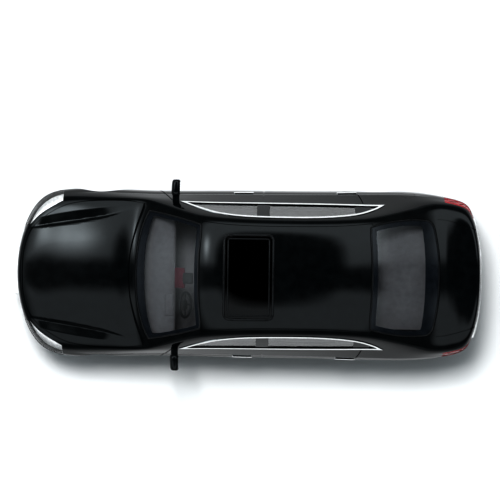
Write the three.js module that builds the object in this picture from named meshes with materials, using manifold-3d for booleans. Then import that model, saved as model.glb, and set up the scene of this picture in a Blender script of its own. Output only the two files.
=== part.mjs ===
// A 1:64 diecast saloon car, in millimetres.
// +X runs to the rear, +Y to the car's right, +Z up. The tyres stand on z = 0 and the
// origin is under the middle of the car.
import * as THREE from "three";
import { mergeVertices } from "three/addons/utils/BufferGeometryUtils.js";
import Module from "manifold-3d";

const wasm = await Module();
wasm.setup();

// ---- driving dimensions -------------------------------------------------------------
const HALF_LENGTH = 41.2;
const WALL = 1.0;
const FIT_GAP = 0.15;
const TYRE = { radius: 5.5, width: 3.8, bead: 4.0, centreY: 12.35 };
const AXLES = { front: -26.2, rear: 22.5 };
const PIN_RADIUS = 0.6;
const ARCH_RADIUS = 6.05;
const CHASSIS = { bottom: 2.3, top: 3.4, half: 37.2 };
const TUB = { bottom: 6.6, floor: 7.3, rim: 13.4 };
const SEAT_BASE = TUB.floor + 0.05;
const SCREWS = { front: -34.8, rear: 34.8 };

// ---- body skin: control net of a cubic B-spline surface --------------------------------
// Each line runs from the middle of the nose, along the flank, to the middle of the tail.
// Lines go from the roof centre (first) down to the sill (last).
const STATION_X = [-32.6, -29, -25, -21.6, -18.2, -16.5, -12.6, -9, -6, 0, 7, 14, 18.6, 21.4,
  25, 29, 32, 34.4, 36.5];
const HALF_WIDTH = [14.75, 14.95, 14.95, 14.8, 14.7, 14.65, 14.65, 14.7, 14.75, 14.8, 14.8, 14.85,
  14.9, 14.95, 15.0, 14.9, 14.5, 14.05, 13.6];
const CENTRE_X = [-32.6, -29, -25.5, -22.8, -20.2, -19.0, -14.6, -9.2, -6.1, 0, 7, 14, 18.4, 21.6,
  25.6, 29.8, 33.0, 34.9, 36.5];
const CENTRE_Z = [14.0, 14.75, 15.35, 15.7, 15.85, 16.3, 18.9, 21.95, 22.75, 23.2, 23.2, 22.85,
  22.3, 21.65, 20.05, 18.35, 17.2, 17.05, 17.0];

const NET_LINES = [
  { nose: [-37.0, 13.05], tail: [38.2, 16.95], x: CENTRE_X, y: fill(0), z: CENTRE_Z },
  { nose: [-39.0, 12.65], tail: [39.3, 16.95], x: CENTRE_X, z: CENTRE_Z.map((z) => z - 0.28),
    y: [5.6, 5.8, 6, 6.1, 6.2, 6.2, 5.8, 5.3, 5.1, 5, 5, 5, 5.1, 5.2, 5.5, 5.8, 6, 6, 5.9] },
  { nose: [-40.2, 12.2], tail: [39.95, 16.95],
    x: [-32.6, -29, -25.2, -22.2, -19.3, -17.6, -13.2, -8.9, -6, 0, 7, 14, 18.5, 21.4, 25.3, 29.4,
      32.4, 34.6, 36.5],
    y: [9.4, 9.8, 10.2, 10.5, 10.7, 10.5, 9.8, 9.0, 8.7, 8.5, 8.5, 8.5, 8.7, 8.9, 9.4, 9.9, 10.1,
      10.1, 9.8],
    z: [13.2, 13.9, 14.5, 14.85, 15.1, 15.9, 18.3, 21.1, 21.95, 22.4, 22.4, 22.05, 21.5, 20.95,
      19.5, 17.9, 16.6, 16.35, 16.25] },
  { nose: [-40.65, 11.75], tail: [40.2, 16.6],
    y: [12.2, 12.5, 12.6, 12.6, 12.4, 12.2, 11.3, 10.45, 10.1, 9.8, 9.75, 9.8, 10.0, 10.3, 10.9,
      11.4, 11.6, 11.5, 11.2],
    z: [13.0, 13.65, 14.2, 14.6, 15.1, 16.0, 18.2, 20.5, 21.4, 21.9, 21.9, 21.55, 21.05, 20.45, 19.1,
      17.6, 16.5, 16.2, 16.0] },
  { nose: [-40.8, 11.3], tail: [40.3, 16.0],
    y: [13.0, 13.2, 13.2, 13.15, 12.95, 12.8, 12.0, 11.1, 10.75, 10.45, 10.35, 10.45, 10.65, 10.95,
      11.6, 12.1, 12.3, 12.3, 12.0],
    z: [12.7, 13.3, 13.85, 14.35, 15.0, 15.7, 17.5, 19.6, 20.4, 20.8, 20.75, 20.4, 19.9, 19.3, 18.3,
      17.2, 16.3, 15.95, 15.65] },
  { nose: [-40.9, 10.7], tail: [40.35, 15.0],
    y: [13.6, 13.75, 13.7, 13.6, 13.4, 13.3, 13.1, 12.95, 12.9, 12.9, 12.9, 12.85, 12.75, 12.7,
      12.85, 13.1, 13.2, 13.1, 12.8],
    z: [12.3, 12.8, 13.35, 13.9, 14.6, 15.0, 15.6, 15.75, 15.8, 15.9, 16.0, 16.1, 16.2, 16.25, 16.2,
      16.0, 15.7, 15.3, 15.0] },
  sideLine(0.65, [-41.0, 9.9], [40.5, 13.4], 11.6, 14.2),
  sideLine(0.08, [-41.1, 8.8], [40.75, 11.6], 10.9, 13.1),
  sideLine(0.0, [-41.2, 7.4], [41.0, 9.8], 9.2, 10.6),
  sideLine(0.05, [-41.2, 6.0], [41.05, 7.9], 7.2, 7.8),
  sideLine(0.35, [-41.15, 4.7], [40.95, 5.9], 4.9, 5.1),
  sideLine(0.7, [-40.85, 3.5], [40.6, 4.3], 3.4, 3.5),
  sideLine(1.1, [-40.2, 2.75], [39.9, 3.0], 2.7, 2.7),
  sideLine(1.7, [-39.5, 2.6], [39.0, 2.7], 2.6, 2.6),
];
const SILL_LINE = 11;
const WRAP_ANGLES = [0, 18, 36, 54, 72].map(THREE.MathUtils.degToRad);
const NOSE_POWER = 0.85;
const TAIL_POWERS = { x: 0.77, y: 0.91 };

function fill(value) {
  return STATION_X.map(() => value);
}

function sideLine(inset, nose, tail, zFront, zRear) {
  const span = STATION_X.at(-1) - STATION_X[0];
  return {
    nose,
    tail,
    y: HALF_WIDTH.map((w) => w - inset),
    z: STATION_X.map((x) => zFront + ((zRear - zFront) * (x - STATION_X[0])) / span),
  };
}

function netLine({ nose, tail, x = STATION_X, y, z }) {
  const last = x.length - 1;
  const noseWrap = WRAP_ANGLES.map((angle) => {
    const back = 1 - Math.cos(angle) ** NOSE_POWER;
    const out = Math.sin(angle);
    return [nose[0] + (x[0] - nose[0]) * back, y[0] * out, nose[1] + (z[0] - nose[1]) * back];
  });
  const tailWrap = [...WRAP_ANGLES].reverse().map((angle) => {
    const back = 1 - Math.cos(angle) ** TAIL_POWERS.x;
    const out = Math.sin(angle) ** TAIL_POWERS.y;
    return [tail[0] + (x[last] - tail[0]) * back, y[last] * out, tail[1] + (z[last] - tail[1]) * back];
  });
  return [...noseWrap, ...x.map((value, i) => [value, y[i], z[i]]), ...tailWrap];
}

const NET = NET_LINES.map(netLine);
const U_MAX = NET[0].length - 1;
const V_MAX = NET.length - 1;

function controlPoint(line, station) {
  if (line < 0) {
    const p = controlPoint(-line, station);
    return [p[0], -p[1], p[2]];
  }
  if (line > V_MAX) {
    const a = controlPoint(V_MAX, station);
    const b = controlPoint(V_MAX - 1, station);
    return a.map((value, i) => 2 * value - b[i]);
  }
  if (station < 0 || station > U_MAX) {
    const p = NET[line][station < 0 ? -station : 2 * U_MAX - station];
    return [p[0], -p[1], p[2]];
  }
  return NET[line][station];
}

function splineWeights(t) {
  const s = 1 - t;
  return [s ** 3 / 6, (3 * t ** 3 - 6 * t * t + 4) / 6, (3 * s ** 3 - 6 * s * s + 4) / 6, t ** 3 / 6];
}

function skinPoint(u, v) {
  const i = Math.min(Math.floor(u), U_MAX - 1);
  const k = Math.min(Math.floor(v), V_MAX - 1);
  const wu = splineWeights(u - i);
  const wv = splineWeights(v - k);
  const point = [0, 0, 0];
  for (let a = 0; a < 4; a += 1) {
    for (let b = 0; b < 4; b += 1) {
      const p = controlPoint(k + b - 1, i + a - 1);
      for (let c = 0; c < 3; c += 1) {
        point[c] += wu[a] * wv[b] * p[c];
      }
    }
  }
  return new THREE.Vector3(...point);
}

function skinNormal(u, v) {
  const step = 0.02;
  const poleU = v < 0.5 ? THREE.MathUtils.clamp(u, 0.4, U_MAX - 0.4) : u;
  const lowV = Math.max(v - step, 0);
  const highV = Math.min(v + step, V_MAX);
  const lowU = Math.max(poleU - step, 0);
  const highU = Math.min(poleU + step, U_MAX);
  const alongU = skinPoint(highU, v).sub(skinPoint(lowU, v));
  const alongV = skinPoint(poleU, highV).sub(skinPoint(poleU, lowV));
  const normal = alongU.cross(alongV).normalize();
  if (u === 0 || u === U_MAX || v === 0) {
    normal.y = 0;
    normal.normalize();
  }
  return normal;
}

const range = (count) => Array.from({ length: count }, (_, i) => i);

// A closed solid inside the skin at the given depth. With a floor given, the last ring drops
// straight down to it, so the solid runs out through the underside. The scale and the drop make
// a smaller copy that has no folds at any depth.
function skinSolid(depth, { lines = V_MAX, floor = null, scale = [1, 1], drop = 0 } = {}) {
  const us = range(U_MAX + 1);
  const vs = range(lines + 1);
  const rings = vs.map((v) => us.map((u) => {
    const p = skinPoint(u, v).addScaledVector(skinNormal(u, v), -depth);
    return p.set(p.x * scale[0], p.y * scale[1], p.z - drop);
  }));
  if (floor !== null) {
    rings.push(rings.at(-1).map((p) => new THREE.Vector3(p.x, p.y, floor)));
  }
  const positions = [];
  const faces = [];
  const index = rings.map((ring) => ring.map((p, i) => {
    const onMiddle = i === 0 || i === us.length - 1 || p.y === 0;
    const right = positions.length / 3;
    positions.push(p.x, onMiddle ? 0 : p.y, p.z);
    if (onMiddle) {
      return [right, right];
    }
    positions.push(p.x, -p.y, p.z);
    return [right, right + 1];
  }));
  const addFace = (a, b, c) => {
    if (a !== b && b !== c && a !== c) {
      faces.push(a, b, c);
    }
  };
  const addQuad = (a, b, c, d) => {
    addFace(a, b, c);
    addFace(a, c, d);
  };
  for (let k = 0; k < rings.length - 1; k += 1) {
    for (let i = 0; i < us.length - 1; i += 1) {
      const [here, next] = [index[k], index[k + 1]];
      addQuad(here[i + 1][0], next[i + 1][0], next[i][0], here[i][0]);
      addQuad(here[i][1], next[i][1], next[i + 1][1], here[i + 1][1]);
    }
  }
  const rim = index.at(-1);
  for (let i = 0; i < us.length - 1; i += 1) {
    addQuad(rim[i + 1][0], rim[i + 1][1], rim[i][1], rim[i][0]);
  }
  const mesh = new wasm.Mesh({
    numProp: 3,
    vertProperties: new Float32Array(positions),
    triVerts: new Uint32Array(faces),
  });
  return new wasm.Manifold(mesh);
}

// ---- solids and outlines ------------------------------------------------------------------
function toSolid(geometry) {
  const bare = geometry.clone();
  bare.deleteAttribute("normal");
  bare.deleteAttribute("uv");
  const merged = mergeVertices(bare, 1e-4);
  const mesh = new wasm.Mesh({
    numProp: 3,
    vertProperties: merged.attributes.position.array,
    triVerts: merged.index.array,
  });
  return new wasm.Manifold(mesh);
}

// The one real body of a solid that a cut has left with loose slivers.
function largestBody(solid) {
  return solid.decompose().reduce((best, body) => (body.volume() > best.volume() ? body : best));
}

function toGeometry(solid) {
  const mesh = solid.getMesh();
  const geometry = new THREE.BufferGeometry();
  geometry.setAttribute("position", new THREE.BufferAttribute(mesh.vertProperties, 3));
  geometry.setIndex(new THREE.BufferAttribute(mesh.triVerts, 1));
  geometry.computeVertexNormals();
  return geometry;
}

function box(x0, x1, y0, y1, z0, z1) {
  const geometry = new THREE.BoxGeometry(x1 - x0, y1 - y0, z1 - z0);
  return geometry.translate((x0 + x1) / 2, (y0 + y1) / 2, (z0 + z1) / 2);
}

function rodY(radius, x, y0, y1, z, segments = 16) {
  return new THREE.CylinderGeometry(radius, radius, y1 - y0, segments).translate(x, (y0 + y1) / 2, z);
}

function rodZ(radius, x, y, z0, z1, segments = 16) {
  const rod = new THREE.CylinderGeometry(radius, radius, z1 - z0, segments).rotateX(Math.PI / 2);
  return rod.translate(x, y, (z0 + z1) / 2);
}

// Extrudes an outline along an axis. Outlines are in (x, y) for z, (y, z) for x, (x, z) for y.
const EXTRUDE_BASIS = {
  x: [new THREE.Vector3(0, 1, 0), new THREE.Vector3(0, 0, 1), new THREE.Vector3(1, 0, 0)],
  y: [new THREE.Vector3(0, 0, 1), new THREE.Vector3(1, 0, 0), new THREE.Vector3(0, 1, 0)],
  z: [new THREE.Vector3(1, 0, 0), new THREE.Vector3(0, 1, 0), new THREE.Vector3(0, 0, 1)],
};

function prism(axis, outline, low, high) {
  const flat = axis === "y" ? outline.map(([a, b]) => [b, a]) : outline;
  const shape = new THREE.Shape(flat.map(([a, b]) => new THREE.Vector2(a, b)));
  const geometry = new THREE.ExtrudeGeometry(shape, {
    depth: high - low,
    bevelEnabled: false,
  });
  const basis = EXTRUDE_BASIS[axis];
  geometry.applyMatrix4(new THREE.Matrix4().makeBasis(...basis));
  return geometry.translate(basis[2].x * low, basis[2].y * low, basis[2].z * low);
}

function smoothPath(points, pieces) {
  const curve = new THREE.SplineCurve(points.map(([a, b]) => new THREE.Vector2(a, b)));
  return curve.getPoints(pieces).map((p) => [p.x, p.y]);
}

function mirrorPath(points) {
  return points.map(([a, b]) => [a, -b]).reverse();
}

// Moves a closed outline outwards (positive) or inwards (negative).
function growOutline(outline, distance) {
  const area = outline.reduce((sum, [x, y], i) => {
    const [nx, ny] = outline[(i + 1) % outline.length];
    return sum + x * ny - nx * y;
  }, 0);
  const turn = Math.sign(area) * distance;
  return outline.map(([x, y], i) => {
    const [px, py] = outline.at(i - 1);
    const [nx, ny] = outline[(i + 1) % outline.length];
    const before = new THREE.Vector2(y - py, px - x).normalize();
    const after = new THREE.Vector2(ny - y, x - nx).normalize();
    const middle = before.clone().add(after).normalize();
    const reach = turn / Math.max(middle.dot(after), 0.45);
    return [x + middle.x * reach, y + middle.y * reach];
  });
}

function roundedRectangle(halfA, halfB, radius, centre = [0, 0], arcPieces = 4) {
  const corners = [[1, 1, 0], [-1, 1, 90], [-1, -1, 180], [1, -1, 270]];
  return corners.flatMap(([sa, sb, start]) => range(arcPieces + 1).map((i) => {
    const angle = THREE.MathUtils.degToRad(start + (90 * i) / arcPieces);
    return [
      centre[0] + sa * (halfA - radius) + radius * Math.cos(angle),
      centre[1] + sb * (halfB - radius) + radius * Math.sin(angle),
    ];
  }));
}

// ---- openings in the skin -----------------------------------------------------------------
const SCREEN_SIDE = [[-19.5, 0], [-19.3, 4], [-18.5, 8], [-17.4, 10.7], [-16.6, 10.9], [-12, 9.9],
  [-8.9, 9.0], [-8.3, 8.4], [-8.6, 4], [-8.7, 0]];
const REAR_SIDE = [[21.3, 0], [21.2, 4], [21.0, 8], [21.6, 8.9], [26, 9.8], [30, 9.9], [31.6, 9.3],
  [32.3, 7], [32.8, 3.5], [32.9, 0]];
const WINDOW_LOWER = [[-12.1, 16.05], [-6, 16.25], [4, 16.4], [14, 16.55], [23.5, 16.75]];
const WINDOW_COLUMNS = 16;
const WINDOW_UPPER = [[23.5, 16.75], [21.6, 18.2], [18.5, 19.6], [14, 20.5], [8, 20.95], [0, 20.9],
  [-5, 20.1], [-8.6, 18.4], [-12.1, 16.05]];

const openings = {
  windscreen: symmetricOutline(SCREEN_SIDE),
  rearWindow: symmetricOutline(REAR_SIDE),
  sunroof: roundedRectangle(4.4, 7.45, 1.2),
  headlamp: [[8.25, 10.3], [8.5, 12.0], [12, 12.65], [15.5, 13.0], [15.5, 10.6], [11, 10.1]],
  tailLamp: [[5.2, 14.1], [5.4, 14.8], [15, 15.2], [15, 12.4], [12.2, 12.2], [11.0, 13.9]],
  grille: roundedRectangle(7.8, 2.2, 0.7, [0, 8.7], 2),
  lowerIntake: roundedRectangle(9.6, 0.8, 0.3, [0, 4.5], 1),
  diffuser: roundedRectangle(8.0, 0.7, 0.3, [0, 4.3], 1),
};

function symmetricOutline(side) {
  const path = smoothPath(side, 12).slice(1, -1);
  return [side[0], ...path, side.at(-1), ...mirrorPath(path)];
}

const mirrorOutline = (outline) => outline.map(([a, b]) => [-a, b]);

// Height and slope of a left-to-right path at x.
function pathAt(path, x) {
  const after = Math.max(path.findIndex((p) => p[0] >= x), 1);
  const [a, b] = [path[after - 1], path[after]];
  const slope = (b[1] - a[1]) / (b[0] - a[0]);
  return { z: a[1] + slope * (x - a[0]), stretch: Math.hypot(1, slope) };
}

// Side window outline in (x, z), moved inwards by the inset. Both its ends are pointed.
function sideWindowOutline(inset) {
  const lower = smoothPath(WINDOW_LOWER, 40);
  const upper = smoothPath(WINDOW_UPPER, 80).reverse();
  const [first, last] = [WINDOW_LOWER[0][0], WINDOW_LOWER.at(-1)[0]];
  const columns = range(WINDOW_COLUMNS).map((i) => {
    const x = first + ((last - first) * (0.5 - 0.5 * Math.cos((Math.PI * (i + 0.5)) / WINDOW_COLUMNS)));
    const low = pathAt(lower, x);
    const high = pathAt(upper, x);
    return { x, low: low.z + inset * low.stretch, high: high.z - inset * high.stretch };
  }).filter((column) => column.high - column.low > 0.04);
  return [...columns.map((c) => [c.x, c.low]), ...columns.reverse().map((c) => [c.x, c.high])];
}

const TALL = [12, 26];
const SIDES = { right: 1, left: -1 };
const sideRange = (side, near, far) => (side > 0 ? [near, far] : [-far, -near]);

function sideWindowPrism(side, outline) {
  return prism("y", outline, ...sideRange(side, 8, 18));
}

function lampPrism(side, outline, low, high) {
  return prism("x", side > 0 ? outline : mirrorOutline(outline), low, high);
}

// Skins at the depths that panes, lenses and inserts use.
const skins = {};
function skin(depth) {
  skins[depth] ??= skinSolid(depth);
  return skins[depth];
}

function layer(geometry, outer, inner) {
  return toSolid(geometry).intersect(skin(outer)).subtract(skin(inner));
}

// The body shrunk by about the given depth on every outside face, for what lies deep in it.
const HALF_BODY_WIDTH = Math.max(...HALF_WIDTH);
function core(depth) {
  const scale = [1 - depth / HALF_LENGTH, 1 - depth / HALF_BODY_WIDTH];
  return skinSolid(0, { scale }).intersect(skinSolid(0, { drop: depth }));
}

function deepLayer(geometry, outer, inner) {
  return toSolid(geometry).intersect(core(outer)).subtract(core(inner));
}

const LAMP_X = { front: [-42, -32.6], rear: [34.0, 42] };
const INSERT_X = { front: [-42, -37.5], rear: [38.6, 42] };
const POCKET_X = { front: [-42, -37.4], rear: [38.4, 42] };
const POCKET = 2.2;

// ---- body_shell -----------------------------------------------------------------------------
function bodyShell() {
  const endToEnd = toSolid(box(-CHASSIS.half - 0.4, CHASSIS.half, -20, 20, 0, 30));
  const hollow = skinSolid(WALL, { lines: SILL_LINE, floor: 0 }).intersect(endToEnd);
  let shell = skin(0).subtract(hollow);
  const through = [
    prism("z", openings.windscreen, ...TALL),
    prism("z", openings.rearWindow, ...TALL),
    prism("z", openings.sunroof, ...TALL),
  ];
  for (const side of Object.values(SIDES)) {
    through.push(sideWindowPrism(side, sideWindowOutline(0)));
    for (const x of Object.values(AXLES)) {
      through.push(rodY(ARCH_RADIUS, x, ...sideRange(side, 9.5, 18), TYRE.radius, 24));
    }
  }
  for (const cutter of through) {
    shell = shell.subtract(toSolid(cutter));
  }
  const pockets = [
    prism("x", growOutline(openings.grille, FIT_GAP), ...POCKET_X.front),
    prism("x", growOutline(openings.lowerIntake, FIT_GAP), ...POCKET_X.front),
    prism("x", growOutline(openings.diffuser, FIT_GAP), ...POCKET_X.rear),
  ];
  for (const side of Object.values(SIDES)) {
    pockets.push(lampPrism(side, growOutline(openings.headlamp, FIT_GAP), ...LAMP_X.front));
    pockets.push(lampPrism(side, growOutline(openings.tailLamp, FIT_GAP), ...LAMP_X.rear));
    pockets.push(prism("x", exhaustOutline(side, -FIT_GAP), ...POCKET_X.rear));
  }
  const pocketFloor = core(POCKET);
  for (const cutter of pockets) {
    shell = shell.subtract(toSolid(cutter).subtract(pocketFloor));
  }
  for (const x of Object.values(SCREWS)) {
    const post = toSolid(rodZ(1.7, x, 0, 4.4, 18)).intersect(skin(0.5));
    shell = shell.add(post).subtract(toSolid(rodZ(1.0, x, 0, 4, 9.5)));
  }
  return largestBody(shell);
}

// ---- glazing and trim ---------------------------------------------------------------------
const GLASS = [0.2, 0.8];

function pane(opening) {
  return layer(prism("z", growOutline(opening, -FIT_GAP), ...TALL), ...GLASS);
}

const TRIM_WIDTH = 0.55;

function sideGlass(side) {
  const outline = sideWindowOutline(TRIM_WIDTH + FIT_GAP);
  return layer(sideWindowPrism(side, outline), ...GLASS);
}

function windowTrim(side) {
  const ring = toSolid(sideWindowPrism(side, sideWindowOutline(0.1)));
  const hole = toSolid(sideWindowPrism(side, sideWindowOutline(TRIM_WIDTH)));
  return ring.subtract(hole).intersect(skin(-0.1)).subtract(skin(0.7));
}

function sunroofSeal() {
  const ring = toSolid(prism("z", growOutline(openings.sunroof, -0.1), ...TALL));
  const hole = toSolid(prism("z", growOutline(openings.sunroof, -0.5), ...TALL));
  return ring.subtract(hole).intersect(skin(0.05)).subtract(skin(0.7));
}

function sunroofPanel() {
  return layer(prism("z", growOutline(openings.sunroof, -0.5 - FIT_GAP), ...TALL), 0.1, 0.7);
}

// ---- lamps, grille and bumper inserts --------------------------------------------------------
function headlampLens(side) {
  return layer(lampPrism(side, openings.headlamp, ...LAMP_X.front), 0.05, 0.75);
}

function headlampReflector(side) {
  return deepLayer(lampPrism(side, growOutline(openings.headlamp, -0.1), ...LAMP_X.front), 1.3, 2.0);
}

function tailLamp(side) {
  return deepLayer(lampPrism(side, openings.tailLamp, ...LAMP_X.rear), 0.05, 1.3);
}

function slattedInsert(outline, slats, pitch) {
  let insert = deepLayer(prism("x", outline, ...INSERT_X.front), 1.1, 1.8);
  const front = deepLayer(prism("x", outline, ...INSERT_X.front), 0.25, 1.3);
  for (const i of range(slats)) {
    const y = (i - (slats - 1) / 2) * pitch;
    insert = insert.add(front.intersect(toSolid(box(-42, -36, y - 0.15, y + 0.15, 0, 14))));
  }
  return insert;
}

function rearDiffuser() {
  return deepLayer(prism("x", openings.diffuser, ...INSERT_X.rear), 0.1, 1.5);
}

const exhaustOutline = (side, inset) => (
  roundedRectangle(1.2 - inset, 0.6 - inset, 0.3, [side * 10.2, 4.3], 2)
);

function exhaustTip(side) {
  const bore = toSolid(prism("x", exhaustOutline(side, 0.25), 39.5, 42));
  return deepLayer(prism("x", exhaustOutline(side, 0), ...INSERT_X.rear), -0.1, 1.8).subtract(bore);
}

function bootTrimStrip() {
  const band = prism("x", roundedRectangle(10.4, 0.16, 0.05, [0, 15.2], 2), 37, 42);
  return toSolid(band).intersect(skin(-0.3)).subtract(skin(-0.08));
}

const PLATE = { halfWidth: 4.05, halfHeight: 0.85, thickness: 0.12 };

function numberPlate(end, z) {
  const outline = roundedRectangle(PLATE.halfWidth, PLATE.halfHeight, 0.15, [0, z], 2);
  const face = end * HALF_LENGTH;
  const back = face - end * PLATE.thickness;
  return toSolid(prism("x", outline, Math.min(face, back), Math.max(face, back)));
}

// ---- door mirrors ----------------------------------------------------------------------------
const MIRROR = { x: -12.75, y: 15.2, z: 16.3, halfWidth: 1.4, halfHeight: 0.9, halfDepth: 0.85 };

function mirrorOutlineAt(side, inset) {
  const centre = [side * MIRROR.y, MIRROR.z];
  return roundedRectangle(MIRROR.halfWidth - inset, MIRROR.halfHeight - inset, 0.5, centre, 3);
}

function mirrorHousing(side) {
  const [front, back] = [MIRROR.x - MIRROR.halfDepth, MIRROR.x + MIRROR.halfDepth];
  const head = toSolid(prism("x", mirrorOutlineAt(side, 0), front, back));
  const foot = toSolid(box(MIRROR.x - 0.7, MIRROR.x + 0.5, ...sideRange(side, 12.6, 14.8), 15.2, 15.8));
  const recess = toSolid(prism("x", mirrorOutlineAt(side, 0.2), back - 0.35, back + 1));
  return head.add(foot).subtract(skin(-FIT_GAP)).subtract(recess);
}

function mirrorGlass(side) {
  const back = MIRROR.x + MIRROR.halfDepth;
  return toSolid(prism("x", mirrorOutlineAt(side, 0.35), back - 0.3, back - 0.1));
}

// ---- cabin --------------------------------------------------------------------------------
function interiorTub() {
  const plan = [[-28.6, 8.2], [-19.0, 8.2], [-19.0, 11.6], [15.4, 11.6], [15.4, 8.2], [30.0, 8.2],
    [30.0, -8.2], [15.4, -8.2], [15.4, -11.6], [-19.0, -11.6], [-19.0, -8.2], [-28.6, -8.2]];
  const outside = toSolid(prism("z", plan, TUB.bottom, TUB.rim));
  const nose = toSolid(box(-29, -18.0, -9, 9, TUB.floor, TUB.rim + 1));
  const inside = toSolid(prism("z", growOutline(plan.slice(1, -1), -0.7), TUB.floor, TUB.rim + 1));
  return outside.subtract(nose).subtract(inside);
}

function dashboard() {
  const section = [[-17.6, 12.2], [-16.9, 14.3], [-15.4, 15.0], [-13.2, 15.1], [-12.4, 14.4],
    [-12.6, 12.6], [-13.6, 11.2], [-16.6, 10.9]];
  return toSolid(prism("y", section, -10.3, 10.3));
}

function steeringWheel() {
  const rim = toSolid(new THREE.TorusGeometry(2.2, 0.26, 6, 20));
  const hub = toSolid(new THREE.SphereGeometry(0.7, 10, 8));
  const bar = toSolid(box(-2.1, 2.1, -0.25, 0.25, -0.2, 0.2));
  const column = new THREE.CylinderGeometry(0.3, 0.3, 1.2, 8).rotateX(Math.PI / 2);
  return rim.add(hub).add(bar).add(toSolid(column.translate(0, 0, -0.8)));
}

function frontSeat() {
  const section = [[-4.2, 0], [-4.4, 1.6], [-3.6, 2.2], [1.0, 2.0], [2.6, 8.0], [3.4, 8.2],
    [3.9, 7.6], [2.6, 0]];
  const cushion = toSolid(prism("y", section, -2.9, 2.9));
  const neck = toSolid(box(2.9, 3.5, -0.8, 0.8, 7.8, 8.8));
  const headrest = toSolid(prism("x", roundedRectangle(1.7, 0.8, 0.5, [0, 9.3], 3), 2.7, 3.8));
  return cushion.add(neck).add(headrest);
}

function rearSeat() {
  const section = [[10.2, 0], [10.0, 1.8], [10.8, 2.4], [14.8, 2.2], [16.6, 7.6], [17.4, 7.8],
    [18.2, 7.2], [17.6, 0]];
  return toSolid(prism("y", section, -7.3, 7.3));
}

function rearViewMirror() {
  return toSolid(prism("x", roundedRectangle(1.9, 0.55, 0.3, [0, 19.0], 3), -11.4, -10.8));
}

// ---- chassis ---------------------------------------------------------------------------------
function chassisBase() {
  const slab = toSolid(box(-CHASSIS.half, CHASSIS.half, -20, 20, CHASSIS.bottom, CHASSIS.top));
  const plan = skinSolid(WALL + 0.3, { lines: SILL_LINE, floor: 0 });
  let base = slab.intersect(plan);
  for (const x of Object.values(AXLES)) {
    for (const side of Object.values(SIDES)) {
      const house = toSolid(rodY(6.75, x, ...sideRange(side, 8.9, 13.0), TYRE.radius, 20));
      const above = toSolid(box(x - 8, x + 8, -20, 20, CHASSIS.bottom, 20));
      const well = toSolid(rodY(6.3, x, ...sideRange(side, 9.3, 18), TYRE.radius, 20));
      const drop = toSolid(box(x - 5.4, x + 5.4, ...sideRange(side, 9.3, 18), 0, 6));
      const saddleY = sideRange(side, 5.6, 8.6);
      const saddle = toSolid(box(x - 1.5, x + 1.5, ...saddleY, CHASSIS.bottom, TUB.bottom - 0.1));
      const roofed = house.intersect(above).intersect(plan);
      base = base.add(roofed).subtract(well).subtract(drop).add(saddle);
    }
    base = base.subtract(toSolid(box(x - 0.75, x + 0.75, -9.2, 9.2, TYRE.radius - 0.75, 8)));
    base = base.subtract(toSolid(rodY(0.75, x, -9.6, 9.6, TYRE.radius)));
  }
  for (const x of Object.values(SCREWS)) {
    base = base.add(toSolid(rodZ(2.1, x, 0, CHASSIS.bottom, 4.2)));
    base = base.subtract(toSolid(rodZ(1.7, x, 0, 2, 3.3))).subtract(toSolid(rodZ(1.0, x, 0, 2, 5)));
  }
  return base;
}

function chassisScrew(x) {
  const head = toSolid(rodZ(1.45, x, 0, 2.6, 3.2));
  const shank = toSolid(rodZ(0.75, x, 0, 3.0, 8.6, 12));
  const slotA = toSolid(box(x - 0.9, x + 0.9, -0.18, 0.18, 2, 2.85));
  const slotB = toSolid(box(x - 0.18, x + 0.18, -0.9, 0.9, 2, 2.85));
  return head.add(shank).subtract(slotA).subtract(slotB);
}

// ---- wheels, tyres and axle pins ------------------------------------------------------------
const WHEEL_SEGMENTS = 20;
const SPOKES = 8;

function latheY(profile) {
  const points = [...profile, profile[0]].map(([radius, y]) => new THREE.Vector2(radius, y));
  return new THREE.LatheGeometry(points, WHEEL_SEGMENTS);
}

function tyre() {
  const half = TYRE.width / 2;
  const inner = TYRE.bead;
  return toSolid(latheY([
    [inner, -half + 0.3], [inner + 0.25, -half], [TYRE.radius - 0.35, -half + 0.1],
    [TYRE.radius, -half + 0.6], [TYRE.radius, half - 0.6], [TYRE.radius - 0.35, half - 0.1],
    [inner + 0.25, half], [inner, half - 0.3],
  ]));
}

// The wheel's face looks along +y.
function wheel() {
  const outer = TYRE.bead - 0.08;
  const half = TYRE.width / 2;
  const bore = PIN_RADIUS + FIT_GAP;
  let rim = toSolid(latheY([
    [outer, -half + 0.3], [outer, half - 0.35], [outer - 0.35, half - 0.25], [outer - 0.5, half - 0.5],
    [outer - 0.5, -half + 0.3],
  ]));
  rim = rim.add(toSolid(latheY([[bore, -1.0], [1.15, -1.0], [1.15, half - 0.55], [bore, half - 0.5]])));
  for (const i of range(SPOKES)) {
    const spoke = box(1.0, outer - 0.4, half - 1.15, half - 0.5, -0.24, 0.24);
    rim = rim.add(toSolid(spoke.rotateY((i * 2 * Math.PI) / SPOKES)));
  }
  return rim;
}

function axlePin(x) {
  const reach = TYRE.centreY + TYRE.width / 2 - 0.6;
  return toSolid(rodY(PIN_RADIUS, x, -reach, reach, TYRE.radius));
}

// ---- materials ----------------------------------------------------------------------------
const finish = (color, roughness, metalness = 0) => ({ color, roughness, metalness });
const FINISHES = {
  blackPaint: finish(0x08090b, 0.15, 0.1),
  clear: finish(0xdfe6ea, 0.05),
  sunroofGlass: finish(0x1a1a1c, 0.08),
  chrome: finish(0xd8dade, 0.12, 1),
  redLens: finish(0x8c0f14, 0.15),
  blackPlastic: finish(0x131416, 0.55),
  greyPlastic: finish(0x3d3f42, 0.6),
  seatPlastic: finish(0x5a5350, 0.65),
  plate: finish(0xf0f0ee, 0.4),
  steel: finish(0xb4b6b8, 0.3, 1),
  alloy: finish(0xb9bcc0, 0.25, 0.9),
  tyre: finish(0x1b1b1b, 0.85),
};

const car = new THREE.Group();

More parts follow.
